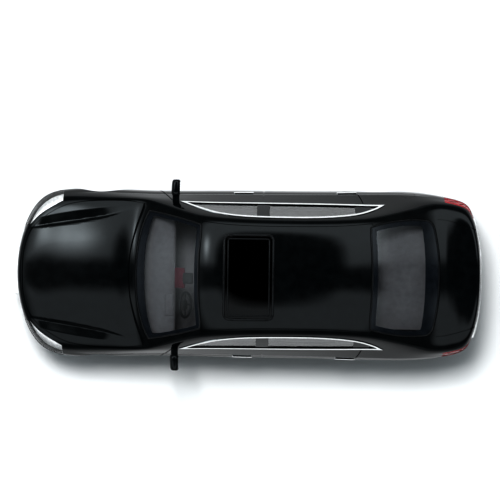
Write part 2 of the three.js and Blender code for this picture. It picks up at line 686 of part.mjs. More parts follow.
function add(name, solid, finishName, place = () => {}) {
  const mesh = new THREE.Mesh(toGeometry(solid), new THREE.MeshStandardMaterial(FINISHES[finishName]));
  mesh.name = name;
  place(mesh);
  car.add(mesh);
}

// ---- assembly -------------------------------------------------------------------------------
add("body_shell", bodyShell(), "blackPaint");
add("chassis_base", chassisBase(), "blackPlastic");
add("interior_tub", interiorTub(), "greyPlastic");
add("dashboard", dashboard(), "greyPlastic");
add("steering_wheel", steeringWheel(), "blackPlastic", (mesh) => {
  mesh.rotation.set(0, THREE.MathUtils.degToRad(65), 0);
  mesh.position.set(-10.9, -5.3, 14.0);
});
add("rear_seat", rearSeat(), "seatPlastic", (mesh) => {
  mesh.position.set(0, 0, SEAT_BASE);
});
add("windscreen", pane(openings.windscreen), "clear");
add("rear_window", pane(openings.rearWindow), "clear");
add("sunroof_panel", sunroofPanel(), "sunroofGlass");
add("sunroof_seal", sunroofSeal(), "blackPlastic");
add("grille_insert", slattedInsert(openings.grille, 9, 1.6), "chrome");
add("lower_intake_grille", slattedInsert(openings.lowerIntake, 3, 4.5), "blackPlastic");
add("rear_diffuser", rearDiffuser(), "blackPlastic");
add("boot_trim_strip", bootTrimStrip(), "chrome");
add("number_plate_front", numberPlate(-1, 5.75), "plate");
add("number_plate_rear", numberPlate(1, 8.6), "plate");
add("rear_view_mirror", rearViewMirror(), "blackPlastic");

for (const [label, side] of Object.entries(SIDES)) {
  add(`front_seat_${label}`, frontSeat(), "seatPlastic", (mesh) => {
    mesh.position.set(-3.2, side * 5.2, SEAT_BASE);
  });
  add(`side_glass_${label}`, sideGlass(side), "clear");
  add(`window_trim_${label}`, windowTrim(side), "chrome");
  add(`headlamp_lens_${label}`, headlampLens(side), "clear");
  add(`headlamp_reflector_${label}`, headlampReflector(side), "chrome");
  add(`tail_lamp_${label}`, tailLamp(side), "redLens");
  add(`mirror_${label}`, mirrorHousing(side), "blackPaint");
  add(`mirror_glass_${label}`, mirrorGlass(side), "chrome");
  add(`exhaust_tip_${label}`, exhaustTip(side), "chrome");
}

for (const [end, x] of Object.entries(AXLES)) {
  add(`${end}_axle_pin`, axlePin(x), "steel");
  add(`chassis_screw_${end}`, chassisScrew(SCREWS[end]), "steel");
  for (const [label, side] of Object.entries(SIDES)) {
    const place = (mesh) => {
      mesh.position.set(x, side * TYRE.centreY, TYRE.radius);
      mesh.rotation.z = side > 0 ? 0 : Math.PI;
    };
    add(`${end}_wheel_${label}`, wheel(), "alloy", place);
    add(`${end}_tyre_${label}`, tyre(), "tyre", place);
  }
}

export default car;
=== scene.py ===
"""Looks of the 1:64 diecast saloon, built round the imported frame.

Shapes are worked out in millimetres in the row frame (+X rear, +Y the car's right, +Z up) and
turned into metres when a piece is finished.
"""
import math

import bmesh
import bpy
import numpy as np
from mathutils import Matrix, Vector
from mathutils.bvhtree import BVHTree
from mathutils.interpolate import poly_3d_calc


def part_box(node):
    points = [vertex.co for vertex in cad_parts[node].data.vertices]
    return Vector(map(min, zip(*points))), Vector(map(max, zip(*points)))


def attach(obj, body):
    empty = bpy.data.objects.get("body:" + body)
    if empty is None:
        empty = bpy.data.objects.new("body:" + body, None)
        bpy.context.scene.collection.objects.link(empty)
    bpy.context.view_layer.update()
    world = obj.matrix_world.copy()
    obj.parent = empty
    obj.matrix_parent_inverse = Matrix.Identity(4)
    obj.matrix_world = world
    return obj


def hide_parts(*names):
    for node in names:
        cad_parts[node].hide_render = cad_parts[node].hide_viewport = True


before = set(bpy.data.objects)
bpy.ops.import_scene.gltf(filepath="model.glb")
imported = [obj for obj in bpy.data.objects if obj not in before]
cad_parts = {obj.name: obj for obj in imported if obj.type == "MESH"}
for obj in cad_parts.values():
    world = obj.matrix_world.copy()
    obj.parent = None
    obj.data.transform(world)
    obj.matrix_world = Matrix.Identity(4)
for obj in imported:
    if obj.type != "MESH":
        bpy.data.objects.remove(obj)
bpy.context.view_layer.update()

MM = 0.001


def node_box(node):
    """Low and high corner of a CAD node, in millimetres."""
    low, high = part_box(node)
    return Vector(low) / MM, Vector(high) / MM


# ---- body skin: the same control net as the casting -------------------------------------------
STATION_X = [-32.6, -29, -25, -21.6, -18.2, -16.5, -12.6, -9, -6, 0, 7, 14, 18.6, 21.4,
             25, 29, 32, 34.4, 36.5]
HALF_WIDTH = [14.75, 14.95, 14.95, 14.8, 14.7, 14.65, 14.65, 14.7, 14.75, 14.8, 14.8, 14.85,
              14.9, 14.95, 15.0, 14.9, 14.5, 14.05, 13.6]
CENTRE_X = [-32.6, -29, -25.5, -22.8, -20.2, -19.0, -14.6, -9.2, -6.1, 0, 7, 14, 18.4, 21.6,
            25.6, 29.8, 33.0, 34.9, 36.5]
CENTRE_Z = [14.0, 14.75, 15.35, 15.7, 15.85, 16.3, 18.9, 21.95, 22.75, 23.2, 23.2, 22.85,
            22.3, 21.65, 20.05, 18.35, 17.2, 17.05, 17.0]
WRAP_ANGLES = [math.radians(a) for a in (0, 18, 36, 54, 72)]
NOSE_POWER = 0.85
TAIL_POWER_X = 0.77
TAIL_POWER_Y = 0.91
SILL_LINE = 11


def net_line(nose, tail, y, z, x=None):
    x = STATION_X if x is None else x
    line = []
    for angle in WRAP_ANGLES:
        back = 1 - math.cos(angle) ** NOSE_POWER
        line.append((nose[0] + (x[0] - nose[0]) * back, y[0] * math.sin(angle),
                     nose[1] + (z[0] - nose[1]) * back))
    line += list(zip(x, y, z))
    for angle in reversed(WRAP_ANGLES):
        back = 1 - math.cos(angle) ** TAIL_POWER_X
        line.append((tail[0] + (x[-1] - tail[0]) * back, y[-1] * math.sin(angle) ** TAIL_POWER_Y,
                     tail[1] + (z[-1] - tail[1]) * back))
    return line


def side_line(inset, nose, tail, z_front, z_rear):
    span = STATION_X[-1] - STATION_X[0]
    z = [z_front + (z_rear - z_front) * (x - STATION_X[0]) / span for x in STATION_X]
    return net_line(nose, tail, [w - inset for w in HALF_WIDTH], z)


NET = np.array([
    net_line((-37.0, 13.05), (38.2, 16.95), [0] * len(CENTRE_X), CENTRE_Z, CENTRE_X),
    net_line((-39.0, 12.65), (39.3, 16.95),
             [5.6, 5.8, 6, 6.1, 6.2, 6.2, 5.8, 5.3, 5.1, 5, 5, 5, 5.1, 5.2, 5.5, 5.8, 6, 6, 5.9],
             [z - 0.28 for z in CENTRE_Z], CENTRE_X),
    net_line((-40.2, 12.2), (39.95, 16.95),
             [9.4, 9.8, 10.2, 10.5, 10.7, 10.5, 9.8, 9.0, 8.7, 8.5, 8.5, 8.5, 8.7, 8.9, 9.4, 9.9,
              10.1, 10.1, 9.8],
             [13.2, 13.9, 14.5, 14.85, 15.1, 15.9, 18.3, 21.1, 21.95, 22.4, 22.4, 22.05, 21.5,
              20.95, 19.5, 17.9, 16.6, 16.35, 16.25],
             [-32.6, -29, -25.2, -22.2, -19.3, -17.6, -13.2, -8.9, -6, 0, 7, 14, 18.5, 21.4,
              25.3, 29.4, 32.4, 34.6, 36.5]),
    net_line((-40.65, 11.75), (40.2, 16.6),
             [12.2, 12.5, 12.6, 12.6, 12.4, 12.2, 11.3, 10.45, 10.1, 9.8, 9.75, 9.8, 10.0, 10.3,
              10.9, 11.4, 11.6, 11.5, 11.2],
             [13.0, 13.65, 14.2, 14.6, 15.1, 16.0, 18.2, 20.5, 21.4, 21.9, 21.9, 21.55, 21.05,
              20.45, 19.1, 17.6, 16.5, 16.2, 16.0]),
    net_line((-40.8, 11.3), (40.3, 16.0),
             [13.0, 13.2, 13.2, 13.15, 12.95, 12.8, 12.0, 11.1, 10.75, 10.45, 10.35, 10.45,
              10.65, 10.95, 11.6, 12.1, 12.3, 12.3, 12.0],
             [12.7, 13.3, 13.85, 14.35, 15.0, 15.7, 17.5, 19.6, 20.4, 20.8, 20.75, 20.4, 19.9,
              19.3, 18.3, 17.2, 16.3, 15.95, 15.65]),
    net_line((-40.9, 10.7), (40.35, 15.0),
             [13.6, 13.75, 13.7, 13.6, 13.4, 13.3, 13.1, 12.95, 12.9, 12.9, 12.9, 12.85, 12.75,
              12.7, 12.85, 13.1, 13.2, 13.1, 12.8],
             [12.3, 12.8, 13.35, 13.9, 14.6, 15.0, 15.6, 15.75, 15.8, 15.9, 16.0, 16.1, 16.2,
              16.25, 16.2, 16.0, 15.7, 15.3, 15.0]),
    side_line(0.65, (-41.0, 9.9), (40.5, 13.4), 11.6, 14.2),
    side_line(0.08, (-41.1, 8.8), (40.75, 11.6), 10.9, 13.1),
    side_line(0.0, (-41.2, 7.4), (41.0, 9.8), 9.2, 10.6),
    side_line(0.05, (-41.2, 6.0), (41.05, 7.9), 7.2, 7.8),
    side_line(0.35, (-41.15, 4.7), (40.95, 5.9), 4.9, 5.1),
    side_line(0.7, (-40.85, 3.5), (40.6, 4.3), 3.4, 3.5),
    side_line(1.1, (-40.2, 2.75), (39.9, 3.0), 2.7, 2.7),
    side_line(1.7, (-39.5, 2.6), (39.0, 2.7), 2.6, 2.6),
])
U_MAX = NET.shape[1] - 1
V_MAX = NET.shape[0] - 1
FLIP_Y = np.array([1, -1, 1])


def extended_net():
    """The net with mirrored lines past the centre line and past the nose and tail."""
    net = np.concatenate([NET[1:2] * FLIP_Y, NET, 2 * NET[-1:] - NET[-2:-1]])
    return np.concatenate([net[:, 1:2] * FLIP_Y, net, net[:, -2:-1] * FLIP_Y], axis=1)


def spline_weights(params, count):
    """One row of cubic B-spline weights over the extended control points for each parameter."""
    weights = np.zeros((len(params), count + 3))
    for row, value in enumerate(params):
        i = min(int(value), count - 1)
        t = value - i
        s = 1 - t
        weights[row, i:i + 4] = (s ** 3 / 6, (3 * t ** 3 - 6 * t * t + 4) / 6,
                                 (3 * s ** 3 - 6 * s * s + 4) / 6, t ** 3 / 6)
    return weights


def smoothstep(low, high, value):
    t = np.clip((value - low) / (high - low), 0, 1)
    return t * t * (3 - 2 * t)


# Hood crease and side crease, each as a curve that the panel steps down from.
CREASE_X = [-38, -35.5, -30, -25, -21.5, -19]
CREASE_INNER_Y = [7.7, 8.1, 8.9, 9.8, 10.7, 11.6]
CREASE_OUTER_Y = [9.6, 10.0, 11.0, 11.7, 12.0, 12.2]
CREASE_DEPTH = 0.3
SIDE_CREASE = {"z_front": 12.2, "z_rear": 13.9, "depth": 0.16, "fade": 4.0}


def panel_relief(points):
    """How far each point of the skin lies below the plain spline surface."""
    x, y, z = points[..., 0], np.abs(points[..., 1]), points[..., 2]
    inner = np.interp(x, CREASE_X, CREASE_INNER_Y)
    outer = np.interp(x, CREASE_X, CREASE_OUTER_Y)
    ends = smoothstep(-39.5, -34.5, x) * (1 - smoothstep(-27.0, -20.0, x))
    across = np.clip((y - inner) / (outer - inner), 0, 1)
    hood = CREASE_DEPTH * ends * smoothstep(0, 0.35, y - inner) * (1 - across)
    hood *= np.where(z > 12, 1, 0)
    line = np.interp(x, [-30, 34], [SIDE_CREASE["z_front"], SIDE_CREASE["z_rear"]])
    below = line - z
    side_ends = smoothstep(-31, -25, x) * (1 - smoothstep(28, 33, x))
    side = SIDE_CREASE["depth"] * side_ends * smoothstep(0, 0.35, below)
    side *= 1 - smoothstep(0.5, SIDE_CREASE["fade"], below)
    return hood + side


def skin_grid(us, vs, relief=True):
    """Points and outward normals on a grid of the right-hand half of the skin."""
    net = extended_net()
    along = spline_weights(us, U_MAX)
    across = spline_weights(vs, V_MAX)
    points = np.einsum("vk,kic,ui->vuc", across, net, along)
    step = 0.01
    ahead = np.einsum("vk,kic,ui->vuc", across, net, spline_weights(np.clip(us + step, 0, U_MAX), U_MAX))
    behind = np.einsum("vk,kic,ui->vuc", across, net, spline_weights(np.clip(us - step, 0, U_MAX), U_MAX))
    below = np.einsum("vk,kic,ui->vuc", spline_weights(np.clip(vs + step, 0, V_MAX), V_MAX), net, along)
    above = np.einsum("vk,kic,ui->vuc", spline_weights(np.clip(vs - step, 0, V_MAX), V_MAX), net, along)
    d_u, d_v = ahead - behind, below - above
    normals = np.cross(d_u, d_v)
    lengths = np.linalg.norm(normals, axis=-1, keepdims=True)
    normals = normals / np.maximum(lengths, 1e-9)
    pole = (vs < 0.6)[:, None] & ((us < 0.4) | (us > U_MAX - 0.4))[None, :]
    for end, inside in ((0, np.searchsorted(us, 0.4)), (-1, np.searchsorted(us, U_MAX - 0.4) - 1)):
        near = us < 0.4 if end == 0 else us > U_MAX - 0.4
        fixed = normals[:, inside][:, None, :].repeat(near.sum(), axis=1)
        normals[:, near] = np.where(pole[:, near][..., None], fixed, normals[:, near])
    normals[:, 0, 1] = 0
    normals[:, -1, 1] = 0
    normals[0, :, 1] = 0
    normals /= np.linalg.norm(normals, axis=-1, keepdims=True)
    if relief:
        depth = panel_relief(points)
        points = points - normals * depth[..., None]
        normals = relief_normals(points, normals)
    return points, normals


def relief_normals(points, normals):
    """Normals of the relieved grid, by differences, away from its edges."""
    d_u = np.gradient(points, axis=1)
    d_v = np.gradient(points, axis=0)
    fresh = np.cross(d_u, d_v)
    fresh /= np.maximum(np.linalg.norm(fresh, axis=-1, keepdims=True), 1e-9)
    result = normals.copy()
    result[2:-1, 3:-3] = fresh[2:-1, 3:-3]
    return result


def spread(stops, pieces):
    """Parameters from stop to stop, each stretch cut into its number of pieces."""
    values = [np.linspace(a, b, n, endpoint=False) for a, b, n in zip(stops[:-1], stops[1:], pieces)]
    return np.append(np.concatenate(values), stops[-1])


FINE_U = spread([0, 4, 9, 12, 23, 28], [44, 60, 24, 88, 60])
FINE_V = spread([0, 1, 2, 3, 5, 9, 13], [8, 14, 16, 20, 30, 20])
COARSE_U = spread([0, 28], [84])
COARSE_V = spread([0, 13], [39])


# ---- solids ---------------------------------------------------------------------------------------
workbench = bpy.data.collections.new("workbench")
bpy.context.scene.collection.children.link(workbench)


def solid(vertices, faces, name="solid"):
    mesh = bpy.data.meshes.new(name)
    mesh.from_pydata([tuple(v) for v in vertices], [], [tuple(f) for f in faces])
    made = bpy.data.objects.new(name, mesh)
    workbench.objects.link(made)
    return made


def skin_solid(depth, us=COARSE_U, vs=COARSE_V, lines=V_MAX, floor=None, relief=True,
               scale=(1, 1), drop=0.0):
    """A closed solid below the skin. With a floor, its last ring drops straight down to it."""
    vs = vs[vs <= lines]
    points, normals = skin_grid(us, vs, relief)
    points = points - normals * depth
    points = points * np.array([scale[0], scale[1], 1]) - np.array([0, 0, drop])
    if floor is not None:
        last = points[-1:].copy()
        last[..., 2] = floor
        points = np.concatenate([points, last])
    rows, columns = points.shape[:2]
    points[0, :, 1] = 0
    points[:, 0, 1] = 0
    points[:, -1, 1] = 0
    vertices = points.reshape(-1, 3)
    mirrored = vertices * FLIP_Y
    right = np.arange(rows * columns).reshape(rows, columns)
    left = right + rows * columns
    left[0] = right[0]
    left[:, 0] = right[:, 0]
    left[:, -1] = right[:, -1]
    faces = []
    for k in range(rows - 1):
        for i in range(columns - 1):
            faces.append((right[k, i + 1], right[k + 1, i + 1], right[k + 1, i], right[k, i]))
            faces.append((left[k, i], left[k + 1, i], left[k + 1, i + 1], left[k, i + 1]))
    for i in range(columns - 1):
        faces.append((right[-1, i + 1], left[-1, i + 1], left[-1, i], right[-1, i]))
    faces = [tuple(dict.fromkeys(int(v) for v in face)) for face in faces]
    made = solid(np.concatenate([vertices, mirrored]), [f for f in faces if len(f) > 2], "skin")
    remove_loose(made.data)
    return made


def remove_loose(mesh):
    work = bmesh.new()
    work.from_mesh(mesh)
    bmesh.ops.delete(work, geom=[v for v in work.verts if not v.link_faces], context="VERTS")
    work.to_mesh(mesh)
    work.free()


def combine(target, cutters, operation="DIFFERENCE"):
    """Cuts or joins with the cutters, one after another, and leaves a plain mesh."""
    for cutter in cutters:
        modifier = target.modifiers.new("cut", "BOOLEAN")
        modifier.operation = operation
        modifier.object = cutter
        modifier.solver = "MANIFOLD"
    depsgraph = bpy.context.evaluated_depsgraph_get()
    mesh = bpy.data.meshes.new_from_object(target.evaluated_get(depsgraph))
    target.modifiers.clear()
    target.data = mesh
    return target


def copy_of(original):
    twin = original.copy()
    twin.data = original.data.copy()
    workbench.objects.link(twin)
    return twin


skins = {}


def skin(depth):
    if depth not in skins:
        skins[depth] = skin_solid(depth)
    return skins[depth]


def layer(shape, outer, inner):
    """The part of a shape between two depths below the skin."""
    return combine(combine(shape, [skin(outer)], "INTERSECT"), [skin(inner)])


HALF_LENGTH = 41.2
HALF_BODY_WIDTH = max(HALF_WIDTH)
cores = {}


def core(depth):
    """The body shrunk by about the depth, with no folds at any depth."""
    if depth not in cores:
        scale = (1 - depth / HALF_LENGTH, 1 - depth / HALF_BODY_WIDTH)
        shrunk = skin_solid(0, relief=False, scale=scale)
        cores[depth] = combine(shrunk, [skin_solid(0, relief=False, drop=depth)], "INTERSECT")
    return cores[depth]


def deep_layer(shape, outer, inner):
    return combine(combine(shape, [core(outer)], "INTERSECT"), [core(inner)])


# ---- outlines and prisms ------------------------------------------------------------------------------
# Outlines are in (x, y) for axis z, (y, z) for axis x and (x, z) for axis y.
AXIS_ORDER = {"x": (2, 0, 1), "y": (0, 2, 1), "z": (0, 1, 2)}


def place_on_axis(axis, a, b, depth):
    return {"x": (depth, a, b), "y": (a, depth, b), "z": (a, b, depth)}[axis]


def signed_area(outline):
    return 0.5 * sum(x * ny - nx * y for (x, y), (nx, ny) in zip(outline, outline[1:] + outline[:1]))


def prism(axis, outline, low, high):
    outline = list(outline)
    turned = signed_area(outline) > 0
    if axis == "y":
        turned = not turned
    if not turned:
        outline.reverse()
    n = len(outline)
    vertices = [place_on_axis(axis, a, b, low) for a, b in outline]
    vertices += [place_on_axis(axis, a, b, high) for a, b in outline]
    faces = [tuple(range(n))[::-1], tuple(range(n, 2 * n))]
    faces += [(i, (i + 1) % n, (i + 1) % n + n, i + n) for i in range(n)]
    return solid(vertices, faces, "prism")


def ring_prism(axis, outer, inner, low, high):
    """A prism between two outlines with the same number of points."""
    if (signed_area(outer) > 0) == (axis == "y"):
        outer, inner = outer[::-1], inner[::-1]
    n = len(outer)
    vertices = []
    for outline, depth in ((outer, low), (inner, low), (outer, high), (inner, high)):
        vertices += [place_on_axis(axis, a, b, depth) for a, b in outline]
    faces = []
    for i in range(n):
        j = (i + 1) % n
        faces.append((i, j, 2 * n + j, 2 * n + i))
        faces.append((n + j, n + i, 3 * n + i, 3 * n + j))
        faces.append((j, i, n + i, n + j))
        faces.append((2 * n + i, 2 * n + j, 3 * n + j, 3 * n + i))
    return solid(vertices, faces, "ring")


def smooth_path(points, pieces):
    """A Catmull-Rom curve through the points."""
    pts = [np.array(p, dtype=float) for p in points]
    pts = [2 * pts[0] - pts[1]] + pts + [2 * pts[-1] - pts[-2]]
    path = []
    spans = len(pts) - 3
    for step in range(pieces + 1):
        value = step / pieces * spans
        i = min(int(value), spans - 1)
        t = value - i
        a, b, c, d = pts[i:i + 4]
        path.append(tuple(0.5 * (2 * b + (c - a) * t + (2 * a - 5 * b + 4 * c - d) * t * t
                                 + (3 * b - a - 3 * c + d) * t ** 3)))
    return path


def grow(outline, distance):
    """Moves a closed outline outwards, or inwards for a negative distance."""
    turn = math.copysign(1, signed_area(outline)) * distance
    moved = []
    n = len(outline)
    for i in range(n):
        here, before, after = (np.array(outline[j % n]) for j in (i, i - 1, i + 1))
        edges = [here - before, after - here]
        normals = [np.array((e[1], -e[0])) / max(np.linalg.norm(e), 1e-9) for e in edges]
        middle = normals[0] + normals[1]
        middle /= max(np.linalg.norm(middle), 1e-9)
        moved.append(tuple(here + middle * turn / max(middle @ normals[1], 0.45)))
    return moved


def symmetric(side, pieces=48):
    path = smooth_path(side, pieces)
    return path + [(a, -b) for a, b in reversed(path[1:-1])]


def rounded_rectangle(half_a, half_b, radius, centre=(0, 0), arc_pieces=8):
    outline = []
    for sa, sb, start in ((1, 1, 0), (-1, 1, 90), (-1, -1, 180), (1, -1, 270)):
        for i in range(arc_pieces + 1):
            angle = math.radians(start + 90 * i / arc_pieces)
            outline.append((centre[0] + sa * (half_a - radius) + radius * math.cos(angle),
                            centre[1] + sb * (half_b - radius) + radius * math.sin(angle)))
    return outline


def stroke(path, width, closed=False):
    """The outline of a line of the given width along a path; rings for a closed path."""
    pts = [np.array(p, dtype=float) for p in path]
    n = len(pts)
    sides = ([], [])
    for i in range(n):
        before = pts[i - 1] if closed or i > 0 else pts[i]
        after = pts[(i + 1) % n] if closed or i < n - 1 else pts[i]
        along = (after - before) / max(np.linalg.norm(after - before), 1e-9)
        across = np.array((-along[1], along[0])) * width / 2
        sides[0].append(tuple(pts[i] + across))
        sides[1].append(tuple(pts[i] - across))
    return sides


def side_span(side, near, far):
    return (near, far) if side > 0 else (-far, -near)


SIDES = {"right": 1, "left": -1}


def lathe(profile, segments, y_centre=0.0, closed=True):
    """A solid of revolution about the Y axis, from (radius, y) points in order."""
    vertices = []
    for radius, y in profile:
        for i in range(segments):
            angle = 2 * math.pi * i / segments
            vertices.append((radius * math.cos(angle), y + y_centre, radius * math.sin(angle)))
    faces = []
    rows = len(profile)
    for k in range(rows if closed else rows - 1):
        for i in range(segments):
            j = (i + 1) % segments
            a, b = k * segments, (k + 1) % rows * segments
            faces.append((a + i, a + j, b + j, b + i))
    if not closed:
        faces.append(tuple(range(segments))[::-1])
        faces.append(tuple(range((rows - 1) * segments, rows * segments)))
    made = solid(vertices, faces, "lathe")
    point_outwards(made.data)
    return made


def point_outwards(mesh):
    work = bmesh.new()
    work.from_mesh(mesh)
    bmesh.ops.recalc_face_normals(work, faces=work.faces)
    work.to_mesh(mesh)
    work.free()


def round_box(size, centre, bevel, segments=3, turn=None):
    """A box with rounded edges."""
    work = bmesh.new()
    bmesh.ops.create_cube(work, size=1)
    bmesh.ops.scale(work, vec=size, verts=work.verts)
    bmesh.ops.bevel(work, geom=work.edges[:], offset=bevel, segments=segments, profile=0.5,
                    affect="EDGES", clamp_overlap=True)
    matrix = Matrix.Translation(centre) @ (turn or Matrix.Identity(4))
    bmesh.ops.transform(work, matrix=matrix, verts=work.verts)
    mesh = bpy.data.meshes.new("box")
    work.to_mesh(mesh)
    work.free()
    made = bpy.data.objects.new("box", mesh)
    workbench.objects.link(made)
    return made


def joined(name, parts):
    """One mesh from several, kept as separate solids inside it."""
    work = bmesh.new()
    for part in parts:
        part.data.transform(part.matrix_world)
        work.from_mesh(part.data)
    mesh = bpy.data.meshes.new(name)
    work.to_mesh(mesh)
    work.free()
    made = bpy.data.objects.new(name, mesh)
    workbench.objects.link(made)
    return made


def mirrored(original):
    twin = copy_of(original)
    twin.data.transform(Matrix.Diagonal((1, -1, 1, 1)))
    twin.data.flip_normals()
    return twin


# ---- normals --------------------------------------------------------------------------------------
class SkinNormals:
    """Gives a mesh that lies along the skin the skin's own smooth normals."""

    def __init__(self):
        points, normals = skin_grid(FINE_U, FINE_V)
        rows, columns = points.shape[:2]
        self.points = np.concatenate([points.reshape(-1, 3), points.reshape(-1, 3) * FLIP_Y])
        self.normals = np.concatenate([normals.reshape(-1, 3), normals.reshape(-1, 3) * FLIP_Y])
        index = np.arange(rows * columns).reshape(rows, columns)
        a, b, c, d = index[:-1, :-1], index[1:, :-1], index[1:, 1:], index[:-1, 1:]
        half = np.concatenate([np.stack(t, -1).reshape(-1, 3) for t in ((a, b, c), (a, c, d))])
        self.corners = np.concatenate([half, half + rows * columns]).tolist()
        self.vectors = [Vector(p) for p in self.points.tolist()]
        self.normal_vectors = [Vector(n) for n in self.normals.tolist()]
        self.tree = BVHTree.FromPolygons(self.vectors, self.corners)

    def at(self, location):
        hit, _, index, _ = self.tree.find_nearest(location)
        corners = self.corners[index]
        weights = poly_3d_calc([self.vectors[i] for i in corners], hit)
        normal = Vector((0, 0, 0))
        for weight, i in zip(weights, corners):
            normal += weight * self.normal_vectors[i]
        return normal.normalized()

    def apply(self, mesh, reach=2.5):
        """Sets the normals of every face that lies along the skin, in millimetre meshes."""
        near = {}
        loops = [(0.0, 0.0, 0.0)] * len(mesh.loops)
        for face in mesh.polygons:
            middle = self.at(face.center)
            agreement = middle.dot(face.normal)
            if abs(agreement) < 0.93:
                continue
            sign = math.copysign(1, agreement)
            for loop in face.loop_indices:
                vertex = mesh.loops[loop].vertex_index
                if vertex not in near:
                    near[vertex] = self.at(mesh.vertices[vertex].co)
                loops[loop] = tuple(near[vertex] * sign)
        mesh.normals_split_custom_set(loops)


skin_normals = SkinNormals()


# ---- finishing a piece ---------------------------------------------------------------------------------
def finish(made, name, material, body="car", replaces=(), along_skin=False, crease=32):
    """Names a millimetre solid, smooths it, turns it to metres and hands it to the frame."""
    made.data.transform(made.matrix_world)
    made.matrix_world = Matrix.Identity(4)
    made.name = name
    made.data.name = name
    made.data.materials.clear()
    made.data.materials.append(material)
    made.data.polygons.foreach_set("use_smooth", [True] * len(made.data.polygons))
    made.data.set_sharp_from_angle(angle=math.radians(crease))
    if along_skin:
        skin_normals.apply(made.data)
    made.data.transform(Matrix.Scale(MM, 4))
    made.data.update()
    bpy.context.scene.collection.objects.link(made)
    workbench.objects.unlink(made)
    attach(made, body)
    if replaces:
        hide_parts(*replaces)
    return made


# ---- materials ---------------------------------------------------------------------------------------
def new_material(name):
    material = bpy.data.materials.new(name)
    material.use_nodes = True
    return material, material.node_tree


def principled(tree):
    return next(n for n in tree.nodes if n.type == "BSDF_PRINCIPLED")


def noise(tree, per_mm, detail=3.0, roughness=0.55):
    """A noise texture with the given number of features per millimetre."""
    coordinates = tree.nodes.new("ShaderNodeTexCoord")
    texture = tree.nodes.new("ShaderNodeTexNoise")
    texture.inputs["Scale"].default_value = per_mm / MM
    texture.inputs["Detail"].default_value = detail
    texture.inputs["Roughness"].default_value = roughness
    tree.links.new(coordinates.outputs["Object"], texture.inputs["Vector"])
    return texture


def ramp(tree, source, stops):
    """A colour ramp from (position, colour) stops; a number stands for a grey."""
    node = tree.nodes.new("ShaderNodeValToRGB")
    elements = node.color_ramp.elements
    while len(elements) < len(stops):
        elements.new(0.5)
    for element, (position, colour) in zip(elements, stops):
        element.position = position
        element.color = (*colour, 1) if isinstance(colour, tuple) else (colour, colour, colour, 1)
    tree.links.new(source, node.inputs["Fac"])
    return node.outputs["Color"]


def bump(tree, height, strength, distance_mm):
    node = tree.nodes.new("ShaderNodeBump")
    node.inputs["Strength"].default_value = strength
    node.inputs["Distance"].default_value = distance_mm * MM
    tree.links.new(height, node.inputs["Height"])
    return node.outputs["Normal"]


def surface(name, low, high, roughness, per_mm=2.0, metallic=0.0, grain=0.0, grain_per_mm=8.0,
            coat=0.0, specular=0.5, detail=3.0):
    """A material whose colour wanders between two colours and whose roughness wanders too."""
    material, tree = new_material(name)
    shader = principled(tree)
    texture = noise(tree, per_mm, detail)
    tree.links.new(ramp(tree, texture.outputs["Fac"], [(0.35, low), (0.65, high)]),
                   shader.inputs["Base Color"])
    tree.links.new(ramp(tree, texture.outputs["Fac"], [(0.3, roughness[0]), (0.7, roughness[1])]),
                   shader.inputs["Roughness"])
    if grain:
        fine = noise(tree, grain_per_mm, 2.0)
        tree.links.new(bump(tree, fine.outputs["Fac"], grain, 0.05), shader.inputs["Normal"])
    shader.inputs["Metallic"].default_value = metallic
    shader.inputs["Coat Weight"].default_value = coat
    shader.inputs["Coat Roughness"].default_value = 0.02
    shader.inputs["Specular IOR Level"].default_value = specular
    return material


def see_through(name, tint_low, tint_high, ior=1.62, per_mm=0.3):
    """Thin clear plastic: a tinted view through, and a mirror that grows towards grazing angles."""
    material, tree = new_material(name)
    tree.nodes.remove(principled(tree))
    output = next(n for n in tree.nodes if n.type == "OUTPUT_MATERIAL")
    texture = noise(tree, per_mm)
    clear = tree.nodes.new("ShaderNodeBsdfTransparent")
    tree.links.new(ramp(tree, texture.outputs["Fac"], [(0.3, tint_low), (0.7, tint_high)]),
                   clear.inputs["Color"])
    gloss = tree.nodes.new("ShaderNodeBsdfGlossy")
    gloss.inputs["Roughness"].default_value = 0.03
    gloss.inputs["Color"].default_value = (1, 1, 1, 1)
    fresnel = tree.nodes.new("ShaderNodeFresnel")
    fresnel.inputs["IOR"].default_value = ior
    front_only = tree.nodes.new("ShaderNodeMath")
    front_only.operation = "MULTIPLY_ADD"
    geometry = tree.nodes.new("ShaderNodeNewGeometry")
    tree.links.new(geometry.outputs["Backfacing"], front_only.inputs[0])
    front_only.inputs[1].default_value = -1
    front_only.inputs[2].default_value = 1
    share = tree.nodes.new("ShaderNodeMath")
    share.operation = "MULTIPLY"
    tree.links.new(front_only.outputs["Value"], share.inputs[0])
    tree.links.new(fresnel.outputs["Fac"], share.inputs[1])
    mix = tree.nodes.new("ShaderNodeMixShader")
    tree.links.new(share.outputs["Value"], mix.inputs["Fac"])
    tree.links.new(clear.outputs["BSDF"], mix.inputs[1])
    tree.links.new(gloss.outputs["BSDF"], mix.inputs[2])
    tree.links.new(mix.outputs["Shader"], output.inputs["Surface"])
    return material


